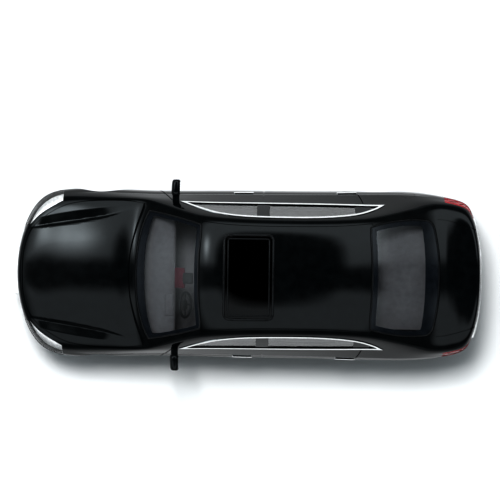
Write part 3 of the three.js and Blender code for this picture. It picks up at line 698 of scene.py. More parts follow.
paint = surface("black_enamel", (0.002, 0.0028, 0.0033), (0.0035, 0.0048, 0.0055), (0.07, 0.1),
                per_mm=0.6, specular=0.5, grain=0.01, grain_per_mm=1.4)
black_plastic = surface("moulded_black_plastic", 0.012, 0.02, (0.42, 0.6), 1.5, grain=0.35)
gloss_black = surface("gloss_black_print", (0.003, 0.004, 0.005), (0.005, 0.006, 0.008), (0.12, 0.18),
                      0.8)
seal_black = surface("screen_seal", (0.006, 0.007, 0.008), (0.01, 0.011, 0.012), (0.16, 0.24), 1.2)
frit_black = surface("screen_border_print", (0.005, 0.007, 0.01), (0.008, 0.011, 0.015), (0.1, 0.16), 1.0)
cabin = surface("cabin_plastic", (0.11, 0.1, 0.102), (0.13, 0.122, 0.124), (0.5, 0.65), 1.2, grain=0.4)
seat_hide = surface("moulded_seat_plastic", (0.1, 0.078, 0.07), (0.15, 0.12, 0.11), (0.45, 0.6), 1.5,
                    grain=0.6, grain_per_mm=5.0)
chrome = surface("bright_trim", 0.78, 0.86, (0.05, 0.11), 1.2, metallic=1.0)
reflector_metal = surface("lamp_reflector", 0.6, 0.82, (0.3, 0.45), 2.5, metallic=0.15, grain=0.25,
                          grain_per_mm=3.0)
light_guide = surface("lamp_light_guide", 0.78, 0.88, (0.2, 0.3), 2.0)
satin_trim = surface("satin_trim", 0.62, 0.74, (0.3, 0.42), 1.6, metallic=0.3)
wheel_silver = surface("plated_wheel", (0.42, 0.43, 0.45), (0.55, 0.56, 0.58), (0.2, 0.3), 2.0,
                       metallic=0.9, grain=0.1)
steel = surface("drawn_steel", 0.5, 0.62, (0.25, 0.4), 2.0, metallic=1.0, grain=0.2, grain_per_mm=12.0)
rubber = surface("tyre_rubber", 0.018, 0.03, (0.72, 0.88), 2.0, grain=0.5, grain_per_mm=9.0)
plate_white = surface("plate_print", (0.78, 0.78, 0.76), (0.86, 0.86, 0.85), (0.3, 0.4), 1.0)
plate_edge = surface("plate_border_print", 0.02, 0.03, (0.35, 0.45), 1.0)
maroon = surface("mirror_back_maroon", (0.05, 0.002, 0.009), (0.075, 0.004, 0.014), (0.3, 0.4), 1.0)
red_lens = surface("red_lens", (0.2, 0.002, 0.008), (0.3, 0.004, 0.012), (0.08, 0.14), 1.6)
red_bar = surface("red_light_bar", (0.26, 0.008, 0.014), (0.36, 0.014, 0.022), (0.15, 0.25), 1.6)
clear = see_through("clear_glazing", (0.9, 0.92, 0.93), (0.94, 0.96, 0.97), ior=2.0)
lamp_clear = see_through("lamp_cover", 0.95, 0.98, ior=1.7)
side_clear = see_through("side_glazing", (0.84, 0.86, 0.87), (0.9, 0.92, 0.93), ior=3.0)
tinted = see_through("tinted_glazing", (0.1, 0.085, 0.085), (0.14, 0.12, 0.12), ior=1.45)

# ---- openings, as on the casting -----------------------------------------------------------------------
SCREEN_SIDE = [(-19.5, 0), (-19.3, 4), (-18.5, 8), (-17.4, 10.7), (-16.6, 10.9), (-12, 9.9), (-8.9, 9.0),
               (-8.3, 8.4), (-8.6, 4), (-8.7, 0)]
REAR_SIDE = [(21.3, 0), (21.2, 4), (21.0, 8), (21.6, 8.9), (26, 9.8), (30, 9.9), (31.6, 9.3), (32.3, 7),
             (32.8, 3.5), (32.9, 0)]
WINDOW_LOWER = [(-12.1, 16.05), (-6, 16.25), (4, 16.4), (14, 16.55), (23.5, 16.75)]
WINDOW_UPPER = [(-12.1, 16.05), (-8.6, 18.55), (-5, 20.35), (0, 21.2), (8, 21.25), (14, 20.8),
                (18.5, 19.85), (21.6, 18.3), (23.5, 16.75)]
windscreen_line = symmetric(SCREEN_SIDE)
rear_line = symmetric(REAR_SIDE)
sunroof_line = rounded_rectangle(4.4, 7.45, 1.2)
HEADLAMP = [(8.25, 10.3), (8.5, 12.0), (12, 12.65), (15.5, 13.0), (15.5, 10.6), (11, 10.1)]
TAIL_LAMP = [(5.2, 14.1), (5.4, 14.8), (15, 15.2), (15, 12.4), (12.2, 12.2), (11.0, 13.9)]
GRILLE = rounded_rectangle(7.8, 2.2, 0.7, (0, 8.7))
LOWER_INTAKE = rounded_rectangle(9.6, 0.8, 0.3, (0, 4.5))
DIFFUSER = rounded_rectangle(8.0, 0.7, 0.3, (0, 4.3))
LAMP_X = {"front": (-42, -32.6), "rear": (34.0, 42)}
POCKET_X = {"front": (-42, -37.4), "rear": (38.4, 42)}
INSERT_X = {"front": (-42, -37.5), "rear": (38.6, 42)}
TALL = (12, 26)
POCKET = 2.2
FIT_GAP = 0.06
WINDOW_COLUMNS = 90


def path_at(path, x):
    xs, zs = zip(*path)
    z = float(np.interp(x, xs, zs))
    slope = float(np.interp(x + 0.05, xs, zs) - np.interp(x - 0.05, xs, zs)) / 0.1
    return z, math.hypot(1, slope)


window_lower = smooth_path(WINDOW_LOWER, 60)
window_upper = smooth_path(WINDOW_UPPER, 120)


def side_window_line(inset, x_low=-99.0, x_high=99.0, columns=WINDOW_COLUMNS):
    """Side window outline moved inwards by the inset, between two x limits."""
    low_run, high_run = [], []
    first, last = WINDOW_LOWER[0][0], WINDOW_LOWER[-1][0]
    for i in range(columns):
        x = first + (last - first) * (0.5 - 0.5 * math.cos(math.pi * (i + 0.5) / columns))
        if not x_low <= x <= x_high:
            continue
        low, low_stretch = path_at(window_lower, x)
        high, high_stretch = path_at(window_upper, x)
        low, high = low + inset * low_stretch, high - inset * high_stretch
        if high - low > 0.03:
            low_run.append((x, low))
            high_run.append((x, high))
    return low_run + high_run[::-1]


# ---- body shell ------------------------------------------------------------------------------------------
AXLE_X = {end: sum(c.x for c in node_box(f"{end}_axle_pin")) / 2 for end in ("front", "rear")}
WHEEL_Z = sum(c.z for c in node_box("front_axle_pin")) / 2
ARCH_RADIUS = 6.05


def door_lines():
    """Shut lines seen from the side, as paths in (x, z); their width is given where they are cut."""
    front_edge = smooth_path([(-13.4, 15.5), (-14.6, 12.5), (-15.9, 9.0), (-16.3, 5.6)], 20)
    corner = smooth_path([(-16.3, 5.6), (-16.1, 4.7), (-15.2, 4.2)], 8)
    pillar = [(2.4, 16.6), (2.7, 4.2)]
    rear_edge = smooth_path([(19.9, 17.2), (19.3, 14.6), (18.4, 12.4), (16.8, 10.6), (15.4, 8.0),
                             (14.8, 5.4), (14.6, 4.2)], 30)
    sill = [(-15.3, 4.2), (14.7, 4.2)]
    bumper_front = smooth_path([(-33.4, 10.5), (-33.0, 8.4), (-31.6, 7.4)], 10)
    bumper_rear = smooth_path([(34.2, 12.4), (32.8, 10.4), (28.2, 8.2)], 14)
    return [front_edge + corner[1:], pillar, rear_edge, sill, bumper_front, bumper_rear]


def top_lines():
    """Shut lines seen from above on the right half, as (path, width, depth) in (x, y)."""
    hood_side = smooth_path([(-18.2, 12.3), (-22, 12.85), (-27, 12.75), (-32, 11.9), (-36, 9.7),
                             (-38.4, 7.2), (-39.5, 3.8), (-39.75, 0)], 50)
    lid_side = smooth_path([(32.6, 10.1), (34.5, 9.9), (37.4, 9.1), (39.4, 8.4)], 16)
    roof_ditch = smooth_path([(-8.0, 9.35), (-4, 8.85), (2, 8.6), (10, 8.6), (16, 8.75), (21.2, 9.2)], 40)
    return [(hood_side, 0.2, 0.2), (lid_side, 0.2, 0.2), (roof_ditch, 0.42, 0.16)]


def groove(axis, path, width, low, high, depth, closed=False):
    left, right = stroke(path, width, closed)
    band = ring_prism(axis, left, right, low, high) if closed else prism(axis, left + right[::-1], low, high)
    return combine(band, [skin(depth)])


def screen_channel(outline, width, depth):
    """A sunk border just outside a screen, in which its seal sits."""
    return groove("z", grow(outline, width / 2), width, *TALL, depth, closed=True)


def arch_cutter(x, side):
    """Wheel arch with a rolled lip: a plain bore that flares at the skin."""
    profile = [(ARCH_RADIUS, 0), (ARCH_RADIUS, 13.9), (ARCH_RADIUS + 0.05, 14.35),
               (ARCH_RADIUS + 0.22, 14.8), (ARCH_RADIUS + 0.5, 15.2), (ARCH_RADIUS + 0.5, 18)]
    cutter = lathe([(r, y if y else 9.5) for r, y in profile], 72, closed=False)
    cutter.data.transform(Matrix.Translation((x, 0, WHEEL_Z)))
    return cutter if side > 0 else mirrored(cutter)


def body_shell():
    hollow = skin_solid(0.9, relief=False, lines=SILL_LINE, floor=0)
    hollow = combine(hollow, [round_box((75.2, 40, 60), (0, 0, 0), 0.01, 1)], "INTERSECT")
    shell = skin_solid(0, FINE_U, FINE_V)
    cutters = [hollow,
               prism("z", windscreen_line, *TALL),
               prism("z", rear_line, *TALL),
               prism("z", sunroof_line, *TALL)]
    pockets = [prism("x", grow(GRILLE, FIT_GAP), *POCKET_X["front"]),
               prism("x", grow(LOWER_INTAKE, FIT_GAP), *POCKET_X["front"]),
               prism("x", grow(DIFFUSER, FIT_GAP), *POCKET_X["rear"])]
    for side in SIDES.values():
        cutters.append(prism("y", side_window_line(0), *side_span(side, 8, 18)))
        cutters += [arch_cutter(x, side) for x in AXLE_X.values()]
        pockets.append(prism("x", grow([(a * side, b) for a, b in HEADLAMP], FIT_GAP), *LAMP_X["front"]))
        pockets.append(prism("x", grow([(a * side, b) for a, b in TAIL_LAMP], FIT_GAP), *LAMP_X["rear"]))
        pockets.append(prism("x", exhaust_line(side, -FIT_GAP), *POCKET_X["rear"]))
        for path in door_lines():
            cutters.append(groove("y", path, 0.17, *side_span(side, 9, 18), 0.2))
        for path, width, depth in top_lines():
            cutters.append(groove("z", [(a, b * side) for a, b in path], width, *TALL, depth))
        for centre in HANDLES:
            cup = prism("y", handle_cup(centre), *side_span(side, 9, 18))
            cutters.append(combine(cup, [skin(0.08)]))
    cutters.append(groove("y", fuel_flap(), 0.14, 9, 18, 0.14, closed=True))
    cutters.append(screen_channel(windscreen_line, 0.3, 0.22))
    cutters.append(screen_channel(rear_line, 0.3, 0.22))
    cutters.append(groove("z", cowl_line(), 0.75, *TALL, 0.5))
    floor = core(POCKET)
    cutters += [combine(pocket, [floor]) for pocket in pockets]
    return combine(shell, cutters)


def exhaust_line(side, inset):
    return rounded_rectangle(1.2 - inset, 0.6 - inset, 0.3, (side * 10.2, 4.3), 4)


def cowl_line():
    """The dark gap between the hood's rear edge and the windscreen."""
    half = smooth_path([(-20.6, 0), (-20.3, 4), (-19.4, 8), (-18.3, 11.2), (-18.0, 12.3)], 24)
    return [(a, -b) for a, b in reversed(half[1:])] + half


HANDLES = [(-1.0, 12.5), (17.0, 12.9)]


def handle_cup(centre):
    return rounded_rectangle(0.9, 0.34, 0.3, (centre[0], centre[1] - 0.12))


def fuel_flap():
    return [(27.6 + 1.3 * math.cos(a), 13.4 + 1.3 * math.sin(a)) for a in np.linspace(0, 2 * math.pi, 32)[:-1]]


def door_handle(centre, side):
    outline = rounded_rectangle(1.75, 0.24, 0.22, centre)
    bar = prism("y", outline, *side_span(side, 9, 18))
    return layer(bar, -0.26, -0.02)


finish(body_shell(), "body_shell_casting", paint, replaces=("body_shell",),
       along_skin=True)
for label, side in SIDES.items():
    for index, centre in enumerate(HANDLES):
        place = ("front", "rear")[index]
        finish(door_handle(centre, side), f"door_handle_{place}_{label}", chrome,
               along_skin=True)


# ---- glazing ---------------------------------------------------------------------------------------------
def border(outline, inner_outline, outer, inner):
    return layer(ring_prism("z", outline, inner_outline, *TALL), outer, inner)


def inner_screen(outline, x_shift, side_inset):
    """The clear part of a screen: its outline drawn in, and more so at the x end named by the shift."""
    shrunk = grow(outline, -side_inset)
    xs = [p[0] for p in shrunk]
    low, high = min(xs), max(xs)
    moved = []
    for x, y in shrunk:
        share = (x - low) / (high - low)
        weight = 1 - share if x_shift > 0 else share
        moved.append((x + x_shift * weight ** 3, y))
    return moved


PANES = {
    "windscreen": (windscreen_line, 0.75, 0.62),
    "rear_window": (rear_line, -1.5, 0.85),
}
for name, (outline, shift, inset) in PANES.items():
    finish(layer(prism("z", grow(outline, -FIT_GAP), *TALL), 0.1, 0.5), f"{name}_pane", clear,
           replaces=(name,), along_skin=True)
    ring = border(grow(outline, -FIT_GAP), inner_screen(outline, shift, inset), 0.05, 0.09)
    finish(ring, f"{name}_border_print", frit_black, along_skin=True)
    seal = border(grow(outline, 0.2), grow(outline, -0.02), -0.05, 0.4)
    finish(seal, f"{name}_seal", seal_black, crease=120)

finish(layer(prism("z", grow(sunroof_line, -0.42), *TALL), 0.06, 0.6), "sunroof_pane", tinted,
       replaces=("sunroof_panel",), along_skin=True)
seal = border(grow(sunroof_line, -0.02), grow(sunroof_line, -0.4), -0.08, 0.6)
finish(seal, "sunroof_frame_seal", seal_black, replaces=("sunroof_seal",),
       crease=120)
rail = border(grow(sunroof_line, -0.75), grow(sunroof_line, -1.0), -0.02, 0.05)
finish(rail, "sunroof_inner_rail", seal_black, crease=120)

TRIM_WIDTH = 0.42
for label, side in SIDES.items():
    span = side_span(side, 8, 18)
    pane = layer(prism("y", side_window_line(TRIM_WIDTH + 0.02), *span), 0.12, 0.5)
    finish(pane, f"side_pane_{label}", side_clear, replaces=(f"side_glass_{label}",),
           along_skin=True)
    trim = prism("y", side_window_line(0.01), *span)
    trim = combine(trim, [prism("y", side_window_line(TRIM_WIDTH), *span)])
    finish(layer(trim, -0.12, 0.5), f"window_loop_{label}", chrome, replaces=(f"window_trim_{label}",),
           along_skin=True)
    for pillar, x_low, x_high in (("centre", 1.3, 3.6), ("quarter", 18.2, 21.0)):
        strip = prism("y", side_window_line(TRIM_WIDTH + 0.02, x_low, x_high, 400), *span)
        finish(layer(strip, 0.02, 0.11), f"{pillar}_pillar_print_{label}", gloss_black,
               along_skin=True)


# ---- lamps -------------------------------------------------------------------------------------------------
def lamp_prism(side, outline, end):
    return prism("x", [(a * side, b) for a, b in outline], *LAMP_X[end])


LIGHT_BARS = [[(6.2, 14.32), (6.3, 14.52), (12, 14.72), (14.6, 14.78), (14.6, 14.5), (12, 14.45)],
              [(11.9, 12.75), (11.7, 13.0), (14.6, 13.05), (14.6, 12.78)]]
RIB_PITCH = 0.42


def lamp_ribs():
    """Fine upright flutes across the lower half of a tail lamp."""
    count = int((15.0 - 11.5) / RIB_PITCH)
    return [[(11.5 + i * RIB_PITCH, 13.2), (11.5 + i * RIB_PITCH, 14.3),
             (11.6 + i * RIB_PITCH, 14.3), (11.6 + i * RIB_PITCH, 13.2)] for i in range(count)]


for label, side in SIDES.items():
    finish(layer(lamp_prism(side, grow(HEADLAMP, -0.02), "front"), 0.03, 0.4), f"headlamp_cover_{label}",
           lamp_clear, replaces=(f"headlamp_lens_{label}",), along_skin=True)
    bowl = deep_layer(lamp_prism(side, grow(HEADLAMP, -0.03), "front"), 0.62, 1.8)
    finish(bowl, f"headlamp_bowl_{label}", reflector_metal, replaces=(f"headlamp_reflector_{label}",))
    guide = [(8.6, 11.45), (8.75, 11.85), (12, 12.45), (15.4, 12.8), (15.4, 12.3), (12, 12.0)]
    finish(deep_layer(lamp_prism(side, guide, "front"), 0.5, 1.1), f"daylight_guide_{label}", light_guide)
    ribs = [prism("x", [(a * side, b) for a, b in rib], *LAMP_X["rear"]) for rib in lamp_ribs()]
    lamp = deep_layer(lamp_prism(side, grow(TAIL_LAMP, -0.02), "rear"), 0.04, 1.3)
    lamp = combine(lamp, [combine(rib, [core(0.2)]) for rib in ribs])
    finish(lamp, f"tail_lamp_cover_{label}", red_lens, replaces=(f"tail_lamp_{label}",))
    bars = [deep_layer(lamp_prism(side, bar, "rear"), -0.02, 0.3) for bar in LIGHT_BARS]
    finish(joined("bars", bars), f"tail_light_bars_{label}", red_bar)


# ---- grille, intake, diffuser, plates -----------------------------------------------------------------------
def slatted(outline, slats, pitch, thickness, outer, axis="y"):
    parts = [deep_layer(prism("x", outline, *INSERT_X["front"]), 1.4, 1.9)]
    for i in range(slats):
        offset = (i - (slats - 1) / 2) * pitch
        low, high = offset - thickness / 2, offset + thickness / 2
        if axis == "y":
            bar = [(low, 2), (high, 2), (high, 14), (low, 14)]
        else:
            middle = sum(b for _, b in outline) / len(outline)
            bar = [(-15, middle + low), (15, middle + low), (15, middle + high), (-15, middle + high)]
        blade = combine(prism("x", bar, *INSERT_X["front"]), [prism("x", outline, -43, -30)], "INTERSECT")
        parts.append(deep_layer(blade, outer, 1.45))
    return joined("slats", parts)


finish(slatted(grow(GRILLE, -0.3), 17, 0.86, 0.26, 0.3), "grille_bars", chrome,
       replaces=("grille_insert",))
grille_frame = ring_prism("x", grow(GRILLE, -0.02), grow(GRILLE, -0.42), *INSERT_X["front"])
finish(deep_layer(grille_frame, -0.45, 1.6), "grille_frame", satin_trim)
finish(slatted(grow(LOWER_INTAKE, -0.02), 2, 0.5, 0.16, 0.3, "z"), "lower_intake_bars", black_plastic,
       replaces=("lower_intake_grille",))


def diffuser():
    panel = deep_layer(prism("x", grow(DIFFUSER, -0.02), *INSERT_X["rear"]), 0.5, 1.3)
    fins = []
    for i in range(7):
        y = (i - 3) * 2.2
        fin = round_box((2.0, 0.22, 1.2), (39.9, y, 4.3), 0.05, 1)
        fins.append(deep_layer(fin, 0.1, 0.6))
    return joined("diffuser", [panel] + fins)


finish(diffuser(), "diffuser_fins", black_plastic, replaces=("rear_diffuser",))
for label, side in SIDES.items():
    tip = ring_prism("x", exhaust_line(side, 0.02), exhaust_line(side, 0.2), *INSERT_X["rear"])
    finish(deep_layer(tip, -0.1, 1.6), f"exhaust_trim_{label}", chrome, replaces=(f"exhaust_tip_{label}",))


PLATE_PROUD = 0.55


def plate(node, end):
    low, high = node_box(node)
    middle = (low + high) / 2
    half_y, half_z = (high.y - low.y) / 2, (high.z - low.z) / 2
    proud = PLATE_PROUD if end < 0 else 0.0
    low, high = low - Vector((proud, 0, 0)), high + Vector((0, 0, 0))
    depth = 0.1
    sheet = prism("x", rounded_rectangle(half_y, half_z, 0.2, (0, middle.z)), low.x + 0.01, high.x - 0.01)
    finish(sheet, f"{node}_sheet", plate_white, replaces=(node,))
    face = high.x if end > 0 else low.x
    line = ring_prism("x", rounded_rectangle(half_y - 0.12, half_z - 0.12, 0.14, (0, middle.z)),
                      rounded_rectangle(half_y - 0.2, half_z - 0.2, 0.08, (0, middle.z)),
                      *sorted((face, face - end * depth * 0.2)))
    finish(line, f"{node}_border", plate_edge)


plate("number_plate_front", -1)
plate("number_plate_rear", 1)
strip = prism("x", rounded_rectangle(10.4, 0.2, 0.18, (0, 15.2)), 37, 42)
finish(layer(strip, -0.32, 0.02), "boot_bright_line", satin_trim, replaces=("boot_trim_strip",),
       crease=150)


# ---- door mirrors --------------------------------------------------------------------------------------------
MIRROR_RINGS = 22
MIRROR_POINTS = 28


def mirror_head(side):
    """Housing: a blunt pod that is squared off towards the glass, on a short foot."""
    low, high = node_box("mirror_right")
    middle_x, middle_z = (low.x + high.x) / 2, 16.3
    inner_y, outer_y = 13.85, high.y - 0.02
    rings = []
    for i in range(MIRROR_RINGS):
        t = i / (MIRROR_RINGS - 1)
        off_centre = abs(2 * t - 1)
        full = max(1 - off_centre ** 3.4, 0.0) ** 0.42 if 0 < t < 1 else 0.04
        half_x = 0.82 * full * (1 - 0.12 * t)
        half_z = 0.86 * full * (1 - 0.1 * t)
        centre_x = middle_x + 0.12 * t * t
        y = inner_y + (outer_y - inner_y) * (0.5 - 0.5 * math.cos(math.pi * t))
        rings.append([(centre_x + half_x * bulge(math.cos(a)), y, middle_z + half_z * bulge(math.sin(a)))
                      for a in np.linspace(0, 2 * math.pi, MIRROR_POINTS, endpoint=False)])
    n = MIRROR_POINTS
    faces = [tuple(range(n)), tuple(range((MIRROR_RINGS - 1) * n, MIRROR_RINGS * n))]
    for k in range(MIRROR_RINGS - 1):
        for j in range(n):
            faces.append((k * n + j, k * n + (j + 1) % n, (k + 1) * n + (j + 1) % n, (k + 1) * n + j))
    head = solid([p for ring in rings for p in ring], faces, "mirror")
    point_outwards(head.data)
    foot = round_box((1.2, 2.0, 0.5), (middle_x, 13.6, 15.75), 0.16, 3)
    head = combine(head, [foot], "UNION")
    recess = round_box((1.0, 2.0, 1.15), (middle_x + MIRROR_FACE + 0.5, 15.2, middle_z), 0.2, 3)
    head = combine(head, [recess, skin(-0.03)])
    return head if side > 0 else mirrored(head)


def bulge(value):
    return math.copysign(abs(value) ** 0.8, value)


MIRROR_FACE = 0.55


def mirror_face(side):
    low, high = node_box("mirror_right")
    face_x = (low.x + high.x) / 2 + MIRROR_FACE + 0.02
    return prism("x", rounded_rectangle(0.94, 0.52, 0.2, (side * 15.2, 16.3)), face_x, face_x + 0.05)


for label, side in SIDES.items():
    finish(mirror_head(side), f"mirror_housing_{label}", paint, replaces=(f"mirror_{label}",))
    finish(mirror_face(side), f"mirror_face_{label}", chrome, replaces=(f"mirror_glass_{label}",))


# ---- cabin -----------------------------------------------------------------------------------------------------
def cushion(size, centre, tilt=0.0, grooves=0, groove_axis=1):
    """A crowned pad: a finely cut rounded box whose faces swell, with pressed seam lines."""
    work = bmesh.new()
    bmesh.ops.create_cube(work, size=2)
    bmesh.ops.subdivide_edges(work, edges=work.edges[:], cuts=15, use_grid_fill=True)
    for vertex in work.verts:
        p = vertex.co
        length = (abs(p.x) ** 5 + abs(p.y) ** 5 + abs(p.z) ** 5) ** 0.2
        q = p / max(length, 1e-6)
        if grooves:
            phase = q[groove_axis] * math.pi * (grooves + 1) / 2
            dent = 0.07 * max(0.0, 1 - abs(math.sin(phase)) * 6)
            q = q * (1 - dent)
        vertex.co = Vector((q.x * size[0] / 2, q.y * size[1] / 2, q.z * size[2] / 2))
    matrix = Matrix.Translation(centre) @ Matrix.Rotation(tilt, 4, "Y")
    bmesh.ops.transform(work, matrix=matrix, verts=work.verts)
    mesh = bpy.data.meshes.new("cushion")
    work.to_mesh(mesh)
    work.free()
    made = bpy.data.objects.new("cushion", mesh)
    workbench.objects.link(made)
    return made


LEAN = math.radians(17)


def front_seat(side):
    low, high = node_box(f"front_seat_{'right' if side > 0 else 'left'}")
    y = (low.y + high.y) / 2
    base = cushion((5.6, 5.4, 2.1), (low.x + 2.9, y, low.z + 1.15), 0, 2, 0)
    back = cushion((1.9, 5.3, 6.6), (low.x + 6.2, y, low.z + 4.6), LEAN, 4, 2)
    head = cushion((1.0, 3.1, 1.5), (low.x + 7.4, y, low.z + 9.2), LEAN)
    wings = [cushion((1.5, 0.8, 5.4), (low.x + 5.9, y + s * 2.35, low.z + 4.3), LEAN) for s in (1, -1)]
    return joined("seat", [base, back, head] + wings)


def rear_bench():
    low, high = node_box("rear_seat")
    width = high.y - low.y
    parts = [cushion((5.0, width, 2.1), (low.x + 2.6, 0, low.z + 1.2), 0, 2, 0)]
    for s in (1, -1):
        parts.append(cushion((1.9, width / 2 - 1.0, 6.0), (low.x + 6.3, s * width / 4 + s * 0.3, low.z + 4.4),
                             LEAN, 4, 2))
        parts.append(cushion((0.9, 2.6, 1.3), (low.x + 7.2, s * width / 4, low.z + 7.1), LEAN))
    parts.append(cushion((1.7, 2.2, 5.2), (low.x + 6.1, 0, low.z + 4.0), LEAN))
    return joined("bench", parts)


def parcel_shelf():
    return round_box((11.6, 18.4, 0.7), (26.0, 0, 14.6), 0.2, 3, Matrix.Rotation(math.radians(-4), 4, "Y"))


def dash_panel():
    low, high = node_box("dashboard")
    section = smooth_path([(low.x - 2.6, 12.0), (low.x - 2.3, 13.0), (low.x - 0.6, 13.9), (low.x + 1.6, 14.8),
                           (low.x + 3.6, 15.1), (low.x + 4.6, 15.0),
                           (high.x - 0.25, 14.4), (high.x - 0.35, 13.4), (high.x - 0.6, 12.5),
                           (high.x - 1.5, 11.4)], 26)
    body = prism("y", section, low.y + 0.1, high.y - 0.1)
    hood = round_box((1.6, 4.0, 0.9), (high.x - 1.4, -5.3, 14.75), 0.3, 4)
    screen = round_box((0.25, 3.6, 1.5), (high.x - 0.55, 0.4, 14.4), 0.1, 3)
    vents = [round_box((0.4, 1.9, 0.5), (high.x - 0.45, y, 13.2), 0.1, 2) for y in (-8.6, 4.6, 8.4)]
    return joined("dash", [body, hood, screen] + vents)


def steering_wheel():
    low, high = node_box("steering_wheel")
    centre = (low + high) / 2
    parts = [ring_tube(2.18, 0.24, 48, 12)]
    parts.append(cushion((1.7, 1.2, 0.5), (0, 0, -0.05)))
    for angle in (0, 180, 270):
        bar = round_box((1.5, 0.32, 0.16), (1.35, 0, -0.02), 0.07, 2)
        bar.data.transform(Matrix.Rotation(math.radians(angle), 4, "Z"))
        parts.append(bar)
    wheel = joined("wheel", parts)
    wheel.data.transform(Matrix.Translation(centre) @ Matrix.Rotation(math.radians(65), 4, "Y")
                         @ Matrix.Rotation(math.radians(90), 4, "Z"))
    return wheel


def ring_tube(radius, thickness, around, across):
    vertices, faces = [], []
    for i in range(around):
        a = 2 * math.pi * i / around
        for j in range(across):
            b = 2 * math.pi * j / across
            r = radius + thickness * math.cos(b)
            vertices.append((r * math.cos(a), r * math.sin(a), thickness * math.sin(b)))
            faces.append((i * across + j, (i + 1) % around * across + j,
                          (i + 1) % around * across + (j + 1) % across, i * across + (j + 1) % across))
    made = solid(vertices, faces, "tube")
    point_outwards(made.data)
    return made


for label, side in SIDES.items():
    finish(front_seat(side), f"front_seat_pad_{label}", seat_hide, replaces=(f"front_seat_{label}",),
           crease=50)
finish(rear_bench(), "rear_bench_pad", seat_hide, replaces=("rear_seat",), crease=50)
finish(parcel_shelf(), "parcel_shelf", cabin)
finish(dash_panel(), "dash_moulding", cabin, replaces=("dashboard",))
finish(steering_wheel(), "steering_wheel_moulding", black_plastic, replaces=("steering_wheel",),
       crease=45)
low, high = node_box("rear_view_mirror")
SCREEN_LEAN = math.radians(-33)
back = round_box((2.0, 3.5, 0.4), (low.x - 0.45, -0.4, low.z - 0.35), 0.15, 3,
                 Matrix.Rotation(SCREEN_LEAN, 4, "Y"))
finish(back, "rear_view_mirror_back", maroon, replaces=("rear_view_mirror",))
stem = round_box((2.0, 1.9, 0.5), (high.x + 0.4, -0.4, high.z + 0.1), 0.2, 3,
                 Matrix.Rotation(SCREEN_LEAN, 4, "Y"))
finish(combine(stem, [skin(0.6)], "INTERSECT"), "rear_view_mirror_mount", black_plastic)


# ---- wheels and tyres --------------------------------------------------------------------------------------------
RIM_RADIUS = 3.9
SPOKE_PAIRS = 7


def tyre_profile(half):
    outer = 5.49
    profile = [(3.98, -half + 0.35), (4.1, -half + 0.12), (4.3, -half + 0.02), (4.75, -half + 0.0),
               (5.1, -half + 0.08), (5.32, -half + 0.28), (outer - 0.03, -half + 0.52)]
    for centre in (-0.85, 0.0, 0.85):
        for offset, depth in ((-0.12, 0), (-0.08, 0.13), (0.08, 0.13), (0.12, 0)):
            profile.append((outer - depth, centre + offset))
    profile += [(r, -y) for r, y in reversed(profile[:7])]
    return profile


def tyre(node):
    low, high = node_box(node)
    half = (high.y - low.y) / 2
    made = lathe(tyre_profile(half), 96)
    cuts = []
    for i in range(48):
        for side in (1, -1):
            nick = round_box((0.16, 0.55, 0.3), (0, side * (half - 0.3), 5.5), 0.02, 1)
            nick.data.transform(Matrix.Rotation(2 * math.pi * (i + 0.25 * side) / 48, 4, "Y"))
            cuts.append(nick)
    nicks = joined("nicks", cuts)
    made = combine(made, [nicks])
    return made


def wheel():
    half = 1.9
    profile = [(RIM_RADIUS, -half + 0.35), (RIM_RADIUS, half - 0.42), (RIM_RADIUS + 0.05, half - 0.3),
               (RIM_RADIUS - 0.02, half - 0.22), (RIM_RADIUS - 0.2, half - 0.26), (RIM_RADIUS - 0.34, half - 0.45),
               (RIM_RADIUS - 0.45, half - 0.9), (RIM_RADIUS - 0.5, -half + 0.35)]
    rim = lathe(profile, 96)
    hub = lathe([(0.05, -1.0), (1.1, -1.0), (1.1, half - 0.75), (0.95, half - 0.6), (0.62, half - 0.55),
                 (0.55, half - 0.48), (0.05, half - 0.46)], 48)
    spokes = []
    for i in range(SPOKE_PAIRS):
        for lean in (1, -1):
            spoke = round_box((2.85, 0.42, 0.3), (2.2, half - 0.72, 0), 0.09, 2)
            spoke.data.transform(Matrix.Translation((0, 0, lean * 0.12))
                                 @ Matrix.Rotation(lean * math.radians(-6.5), 4, "Y"))
            spoke.data.transform(Matrix.Rotation(2 * math.pi * i / SPOKE_PAIRS, 4, "Y"))
            spokes.append(spoke)
    nuts = []
    for i in range(5):
        nut = lathe([(0.02, half - 0.62), (0.12, half - 0.62), (0.12, half - 0.5), (0.08, half - 0.46),
                     (0.02, half - 0.46)], 10)
        a = 2 * math.pi * i / 5
        nut.data.transform(Matrix.Translation((0.8 * math.cos(a), 0, 0.8 * math.sin(a))))
        nuts.append(nut)
    return joined("wheel", [rim, hub] + spokes + nuts)


for end in AXLE_X:
    for label, side in SIDES.items():
        low, high = node_box(f"{end}_tyre_{label}")
        to_place = Matrix.Translation((low + high) / 2) @ Matrix.Rotation(0 if side > 0 else math.pi, 4, "Z")
        for made, name, material, node, slot in (
            (tyre(f"{end}_tyre_{label}"), "tyre_tread", rubber, "tyre", "tyre_rubber"),
            (wheel(), "wheel_rim", wheel_silver, "wheel", "wheel_plating"),
        ):
            made.data.transform(to_place)
            finish(made, f"{end}_{name}_{label}", material, body=f"{end}_axle",
                   replaces=(f"{end}_{node}_{label}",))

# ---- CAD nodes that keep their shape get their finish -----------------------------------------------------------------
KEPT = {
    "chassis_base": black_plastic,
    "interior_tub": cabin,
    "chassis_screw_front": steel,
    "chassis_screw_rear": steel,
    "front_axle_pin": steel,
    "rear_axle_pin": steel,
}
for node, material in KEPT.items():
    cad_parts[node].material_slots[0].material = material

bpy.data.collections.remove(workbench)

# ---- floor, light, camera --------------------------------------------------------------------------------------------
FLOOR = 1.2


def floor_material():
    return surface("paper_sweep", (0.6, 0.6, 0.602), (0.615, 0.615, 0.615), (0.85, 0.95), 0.02)


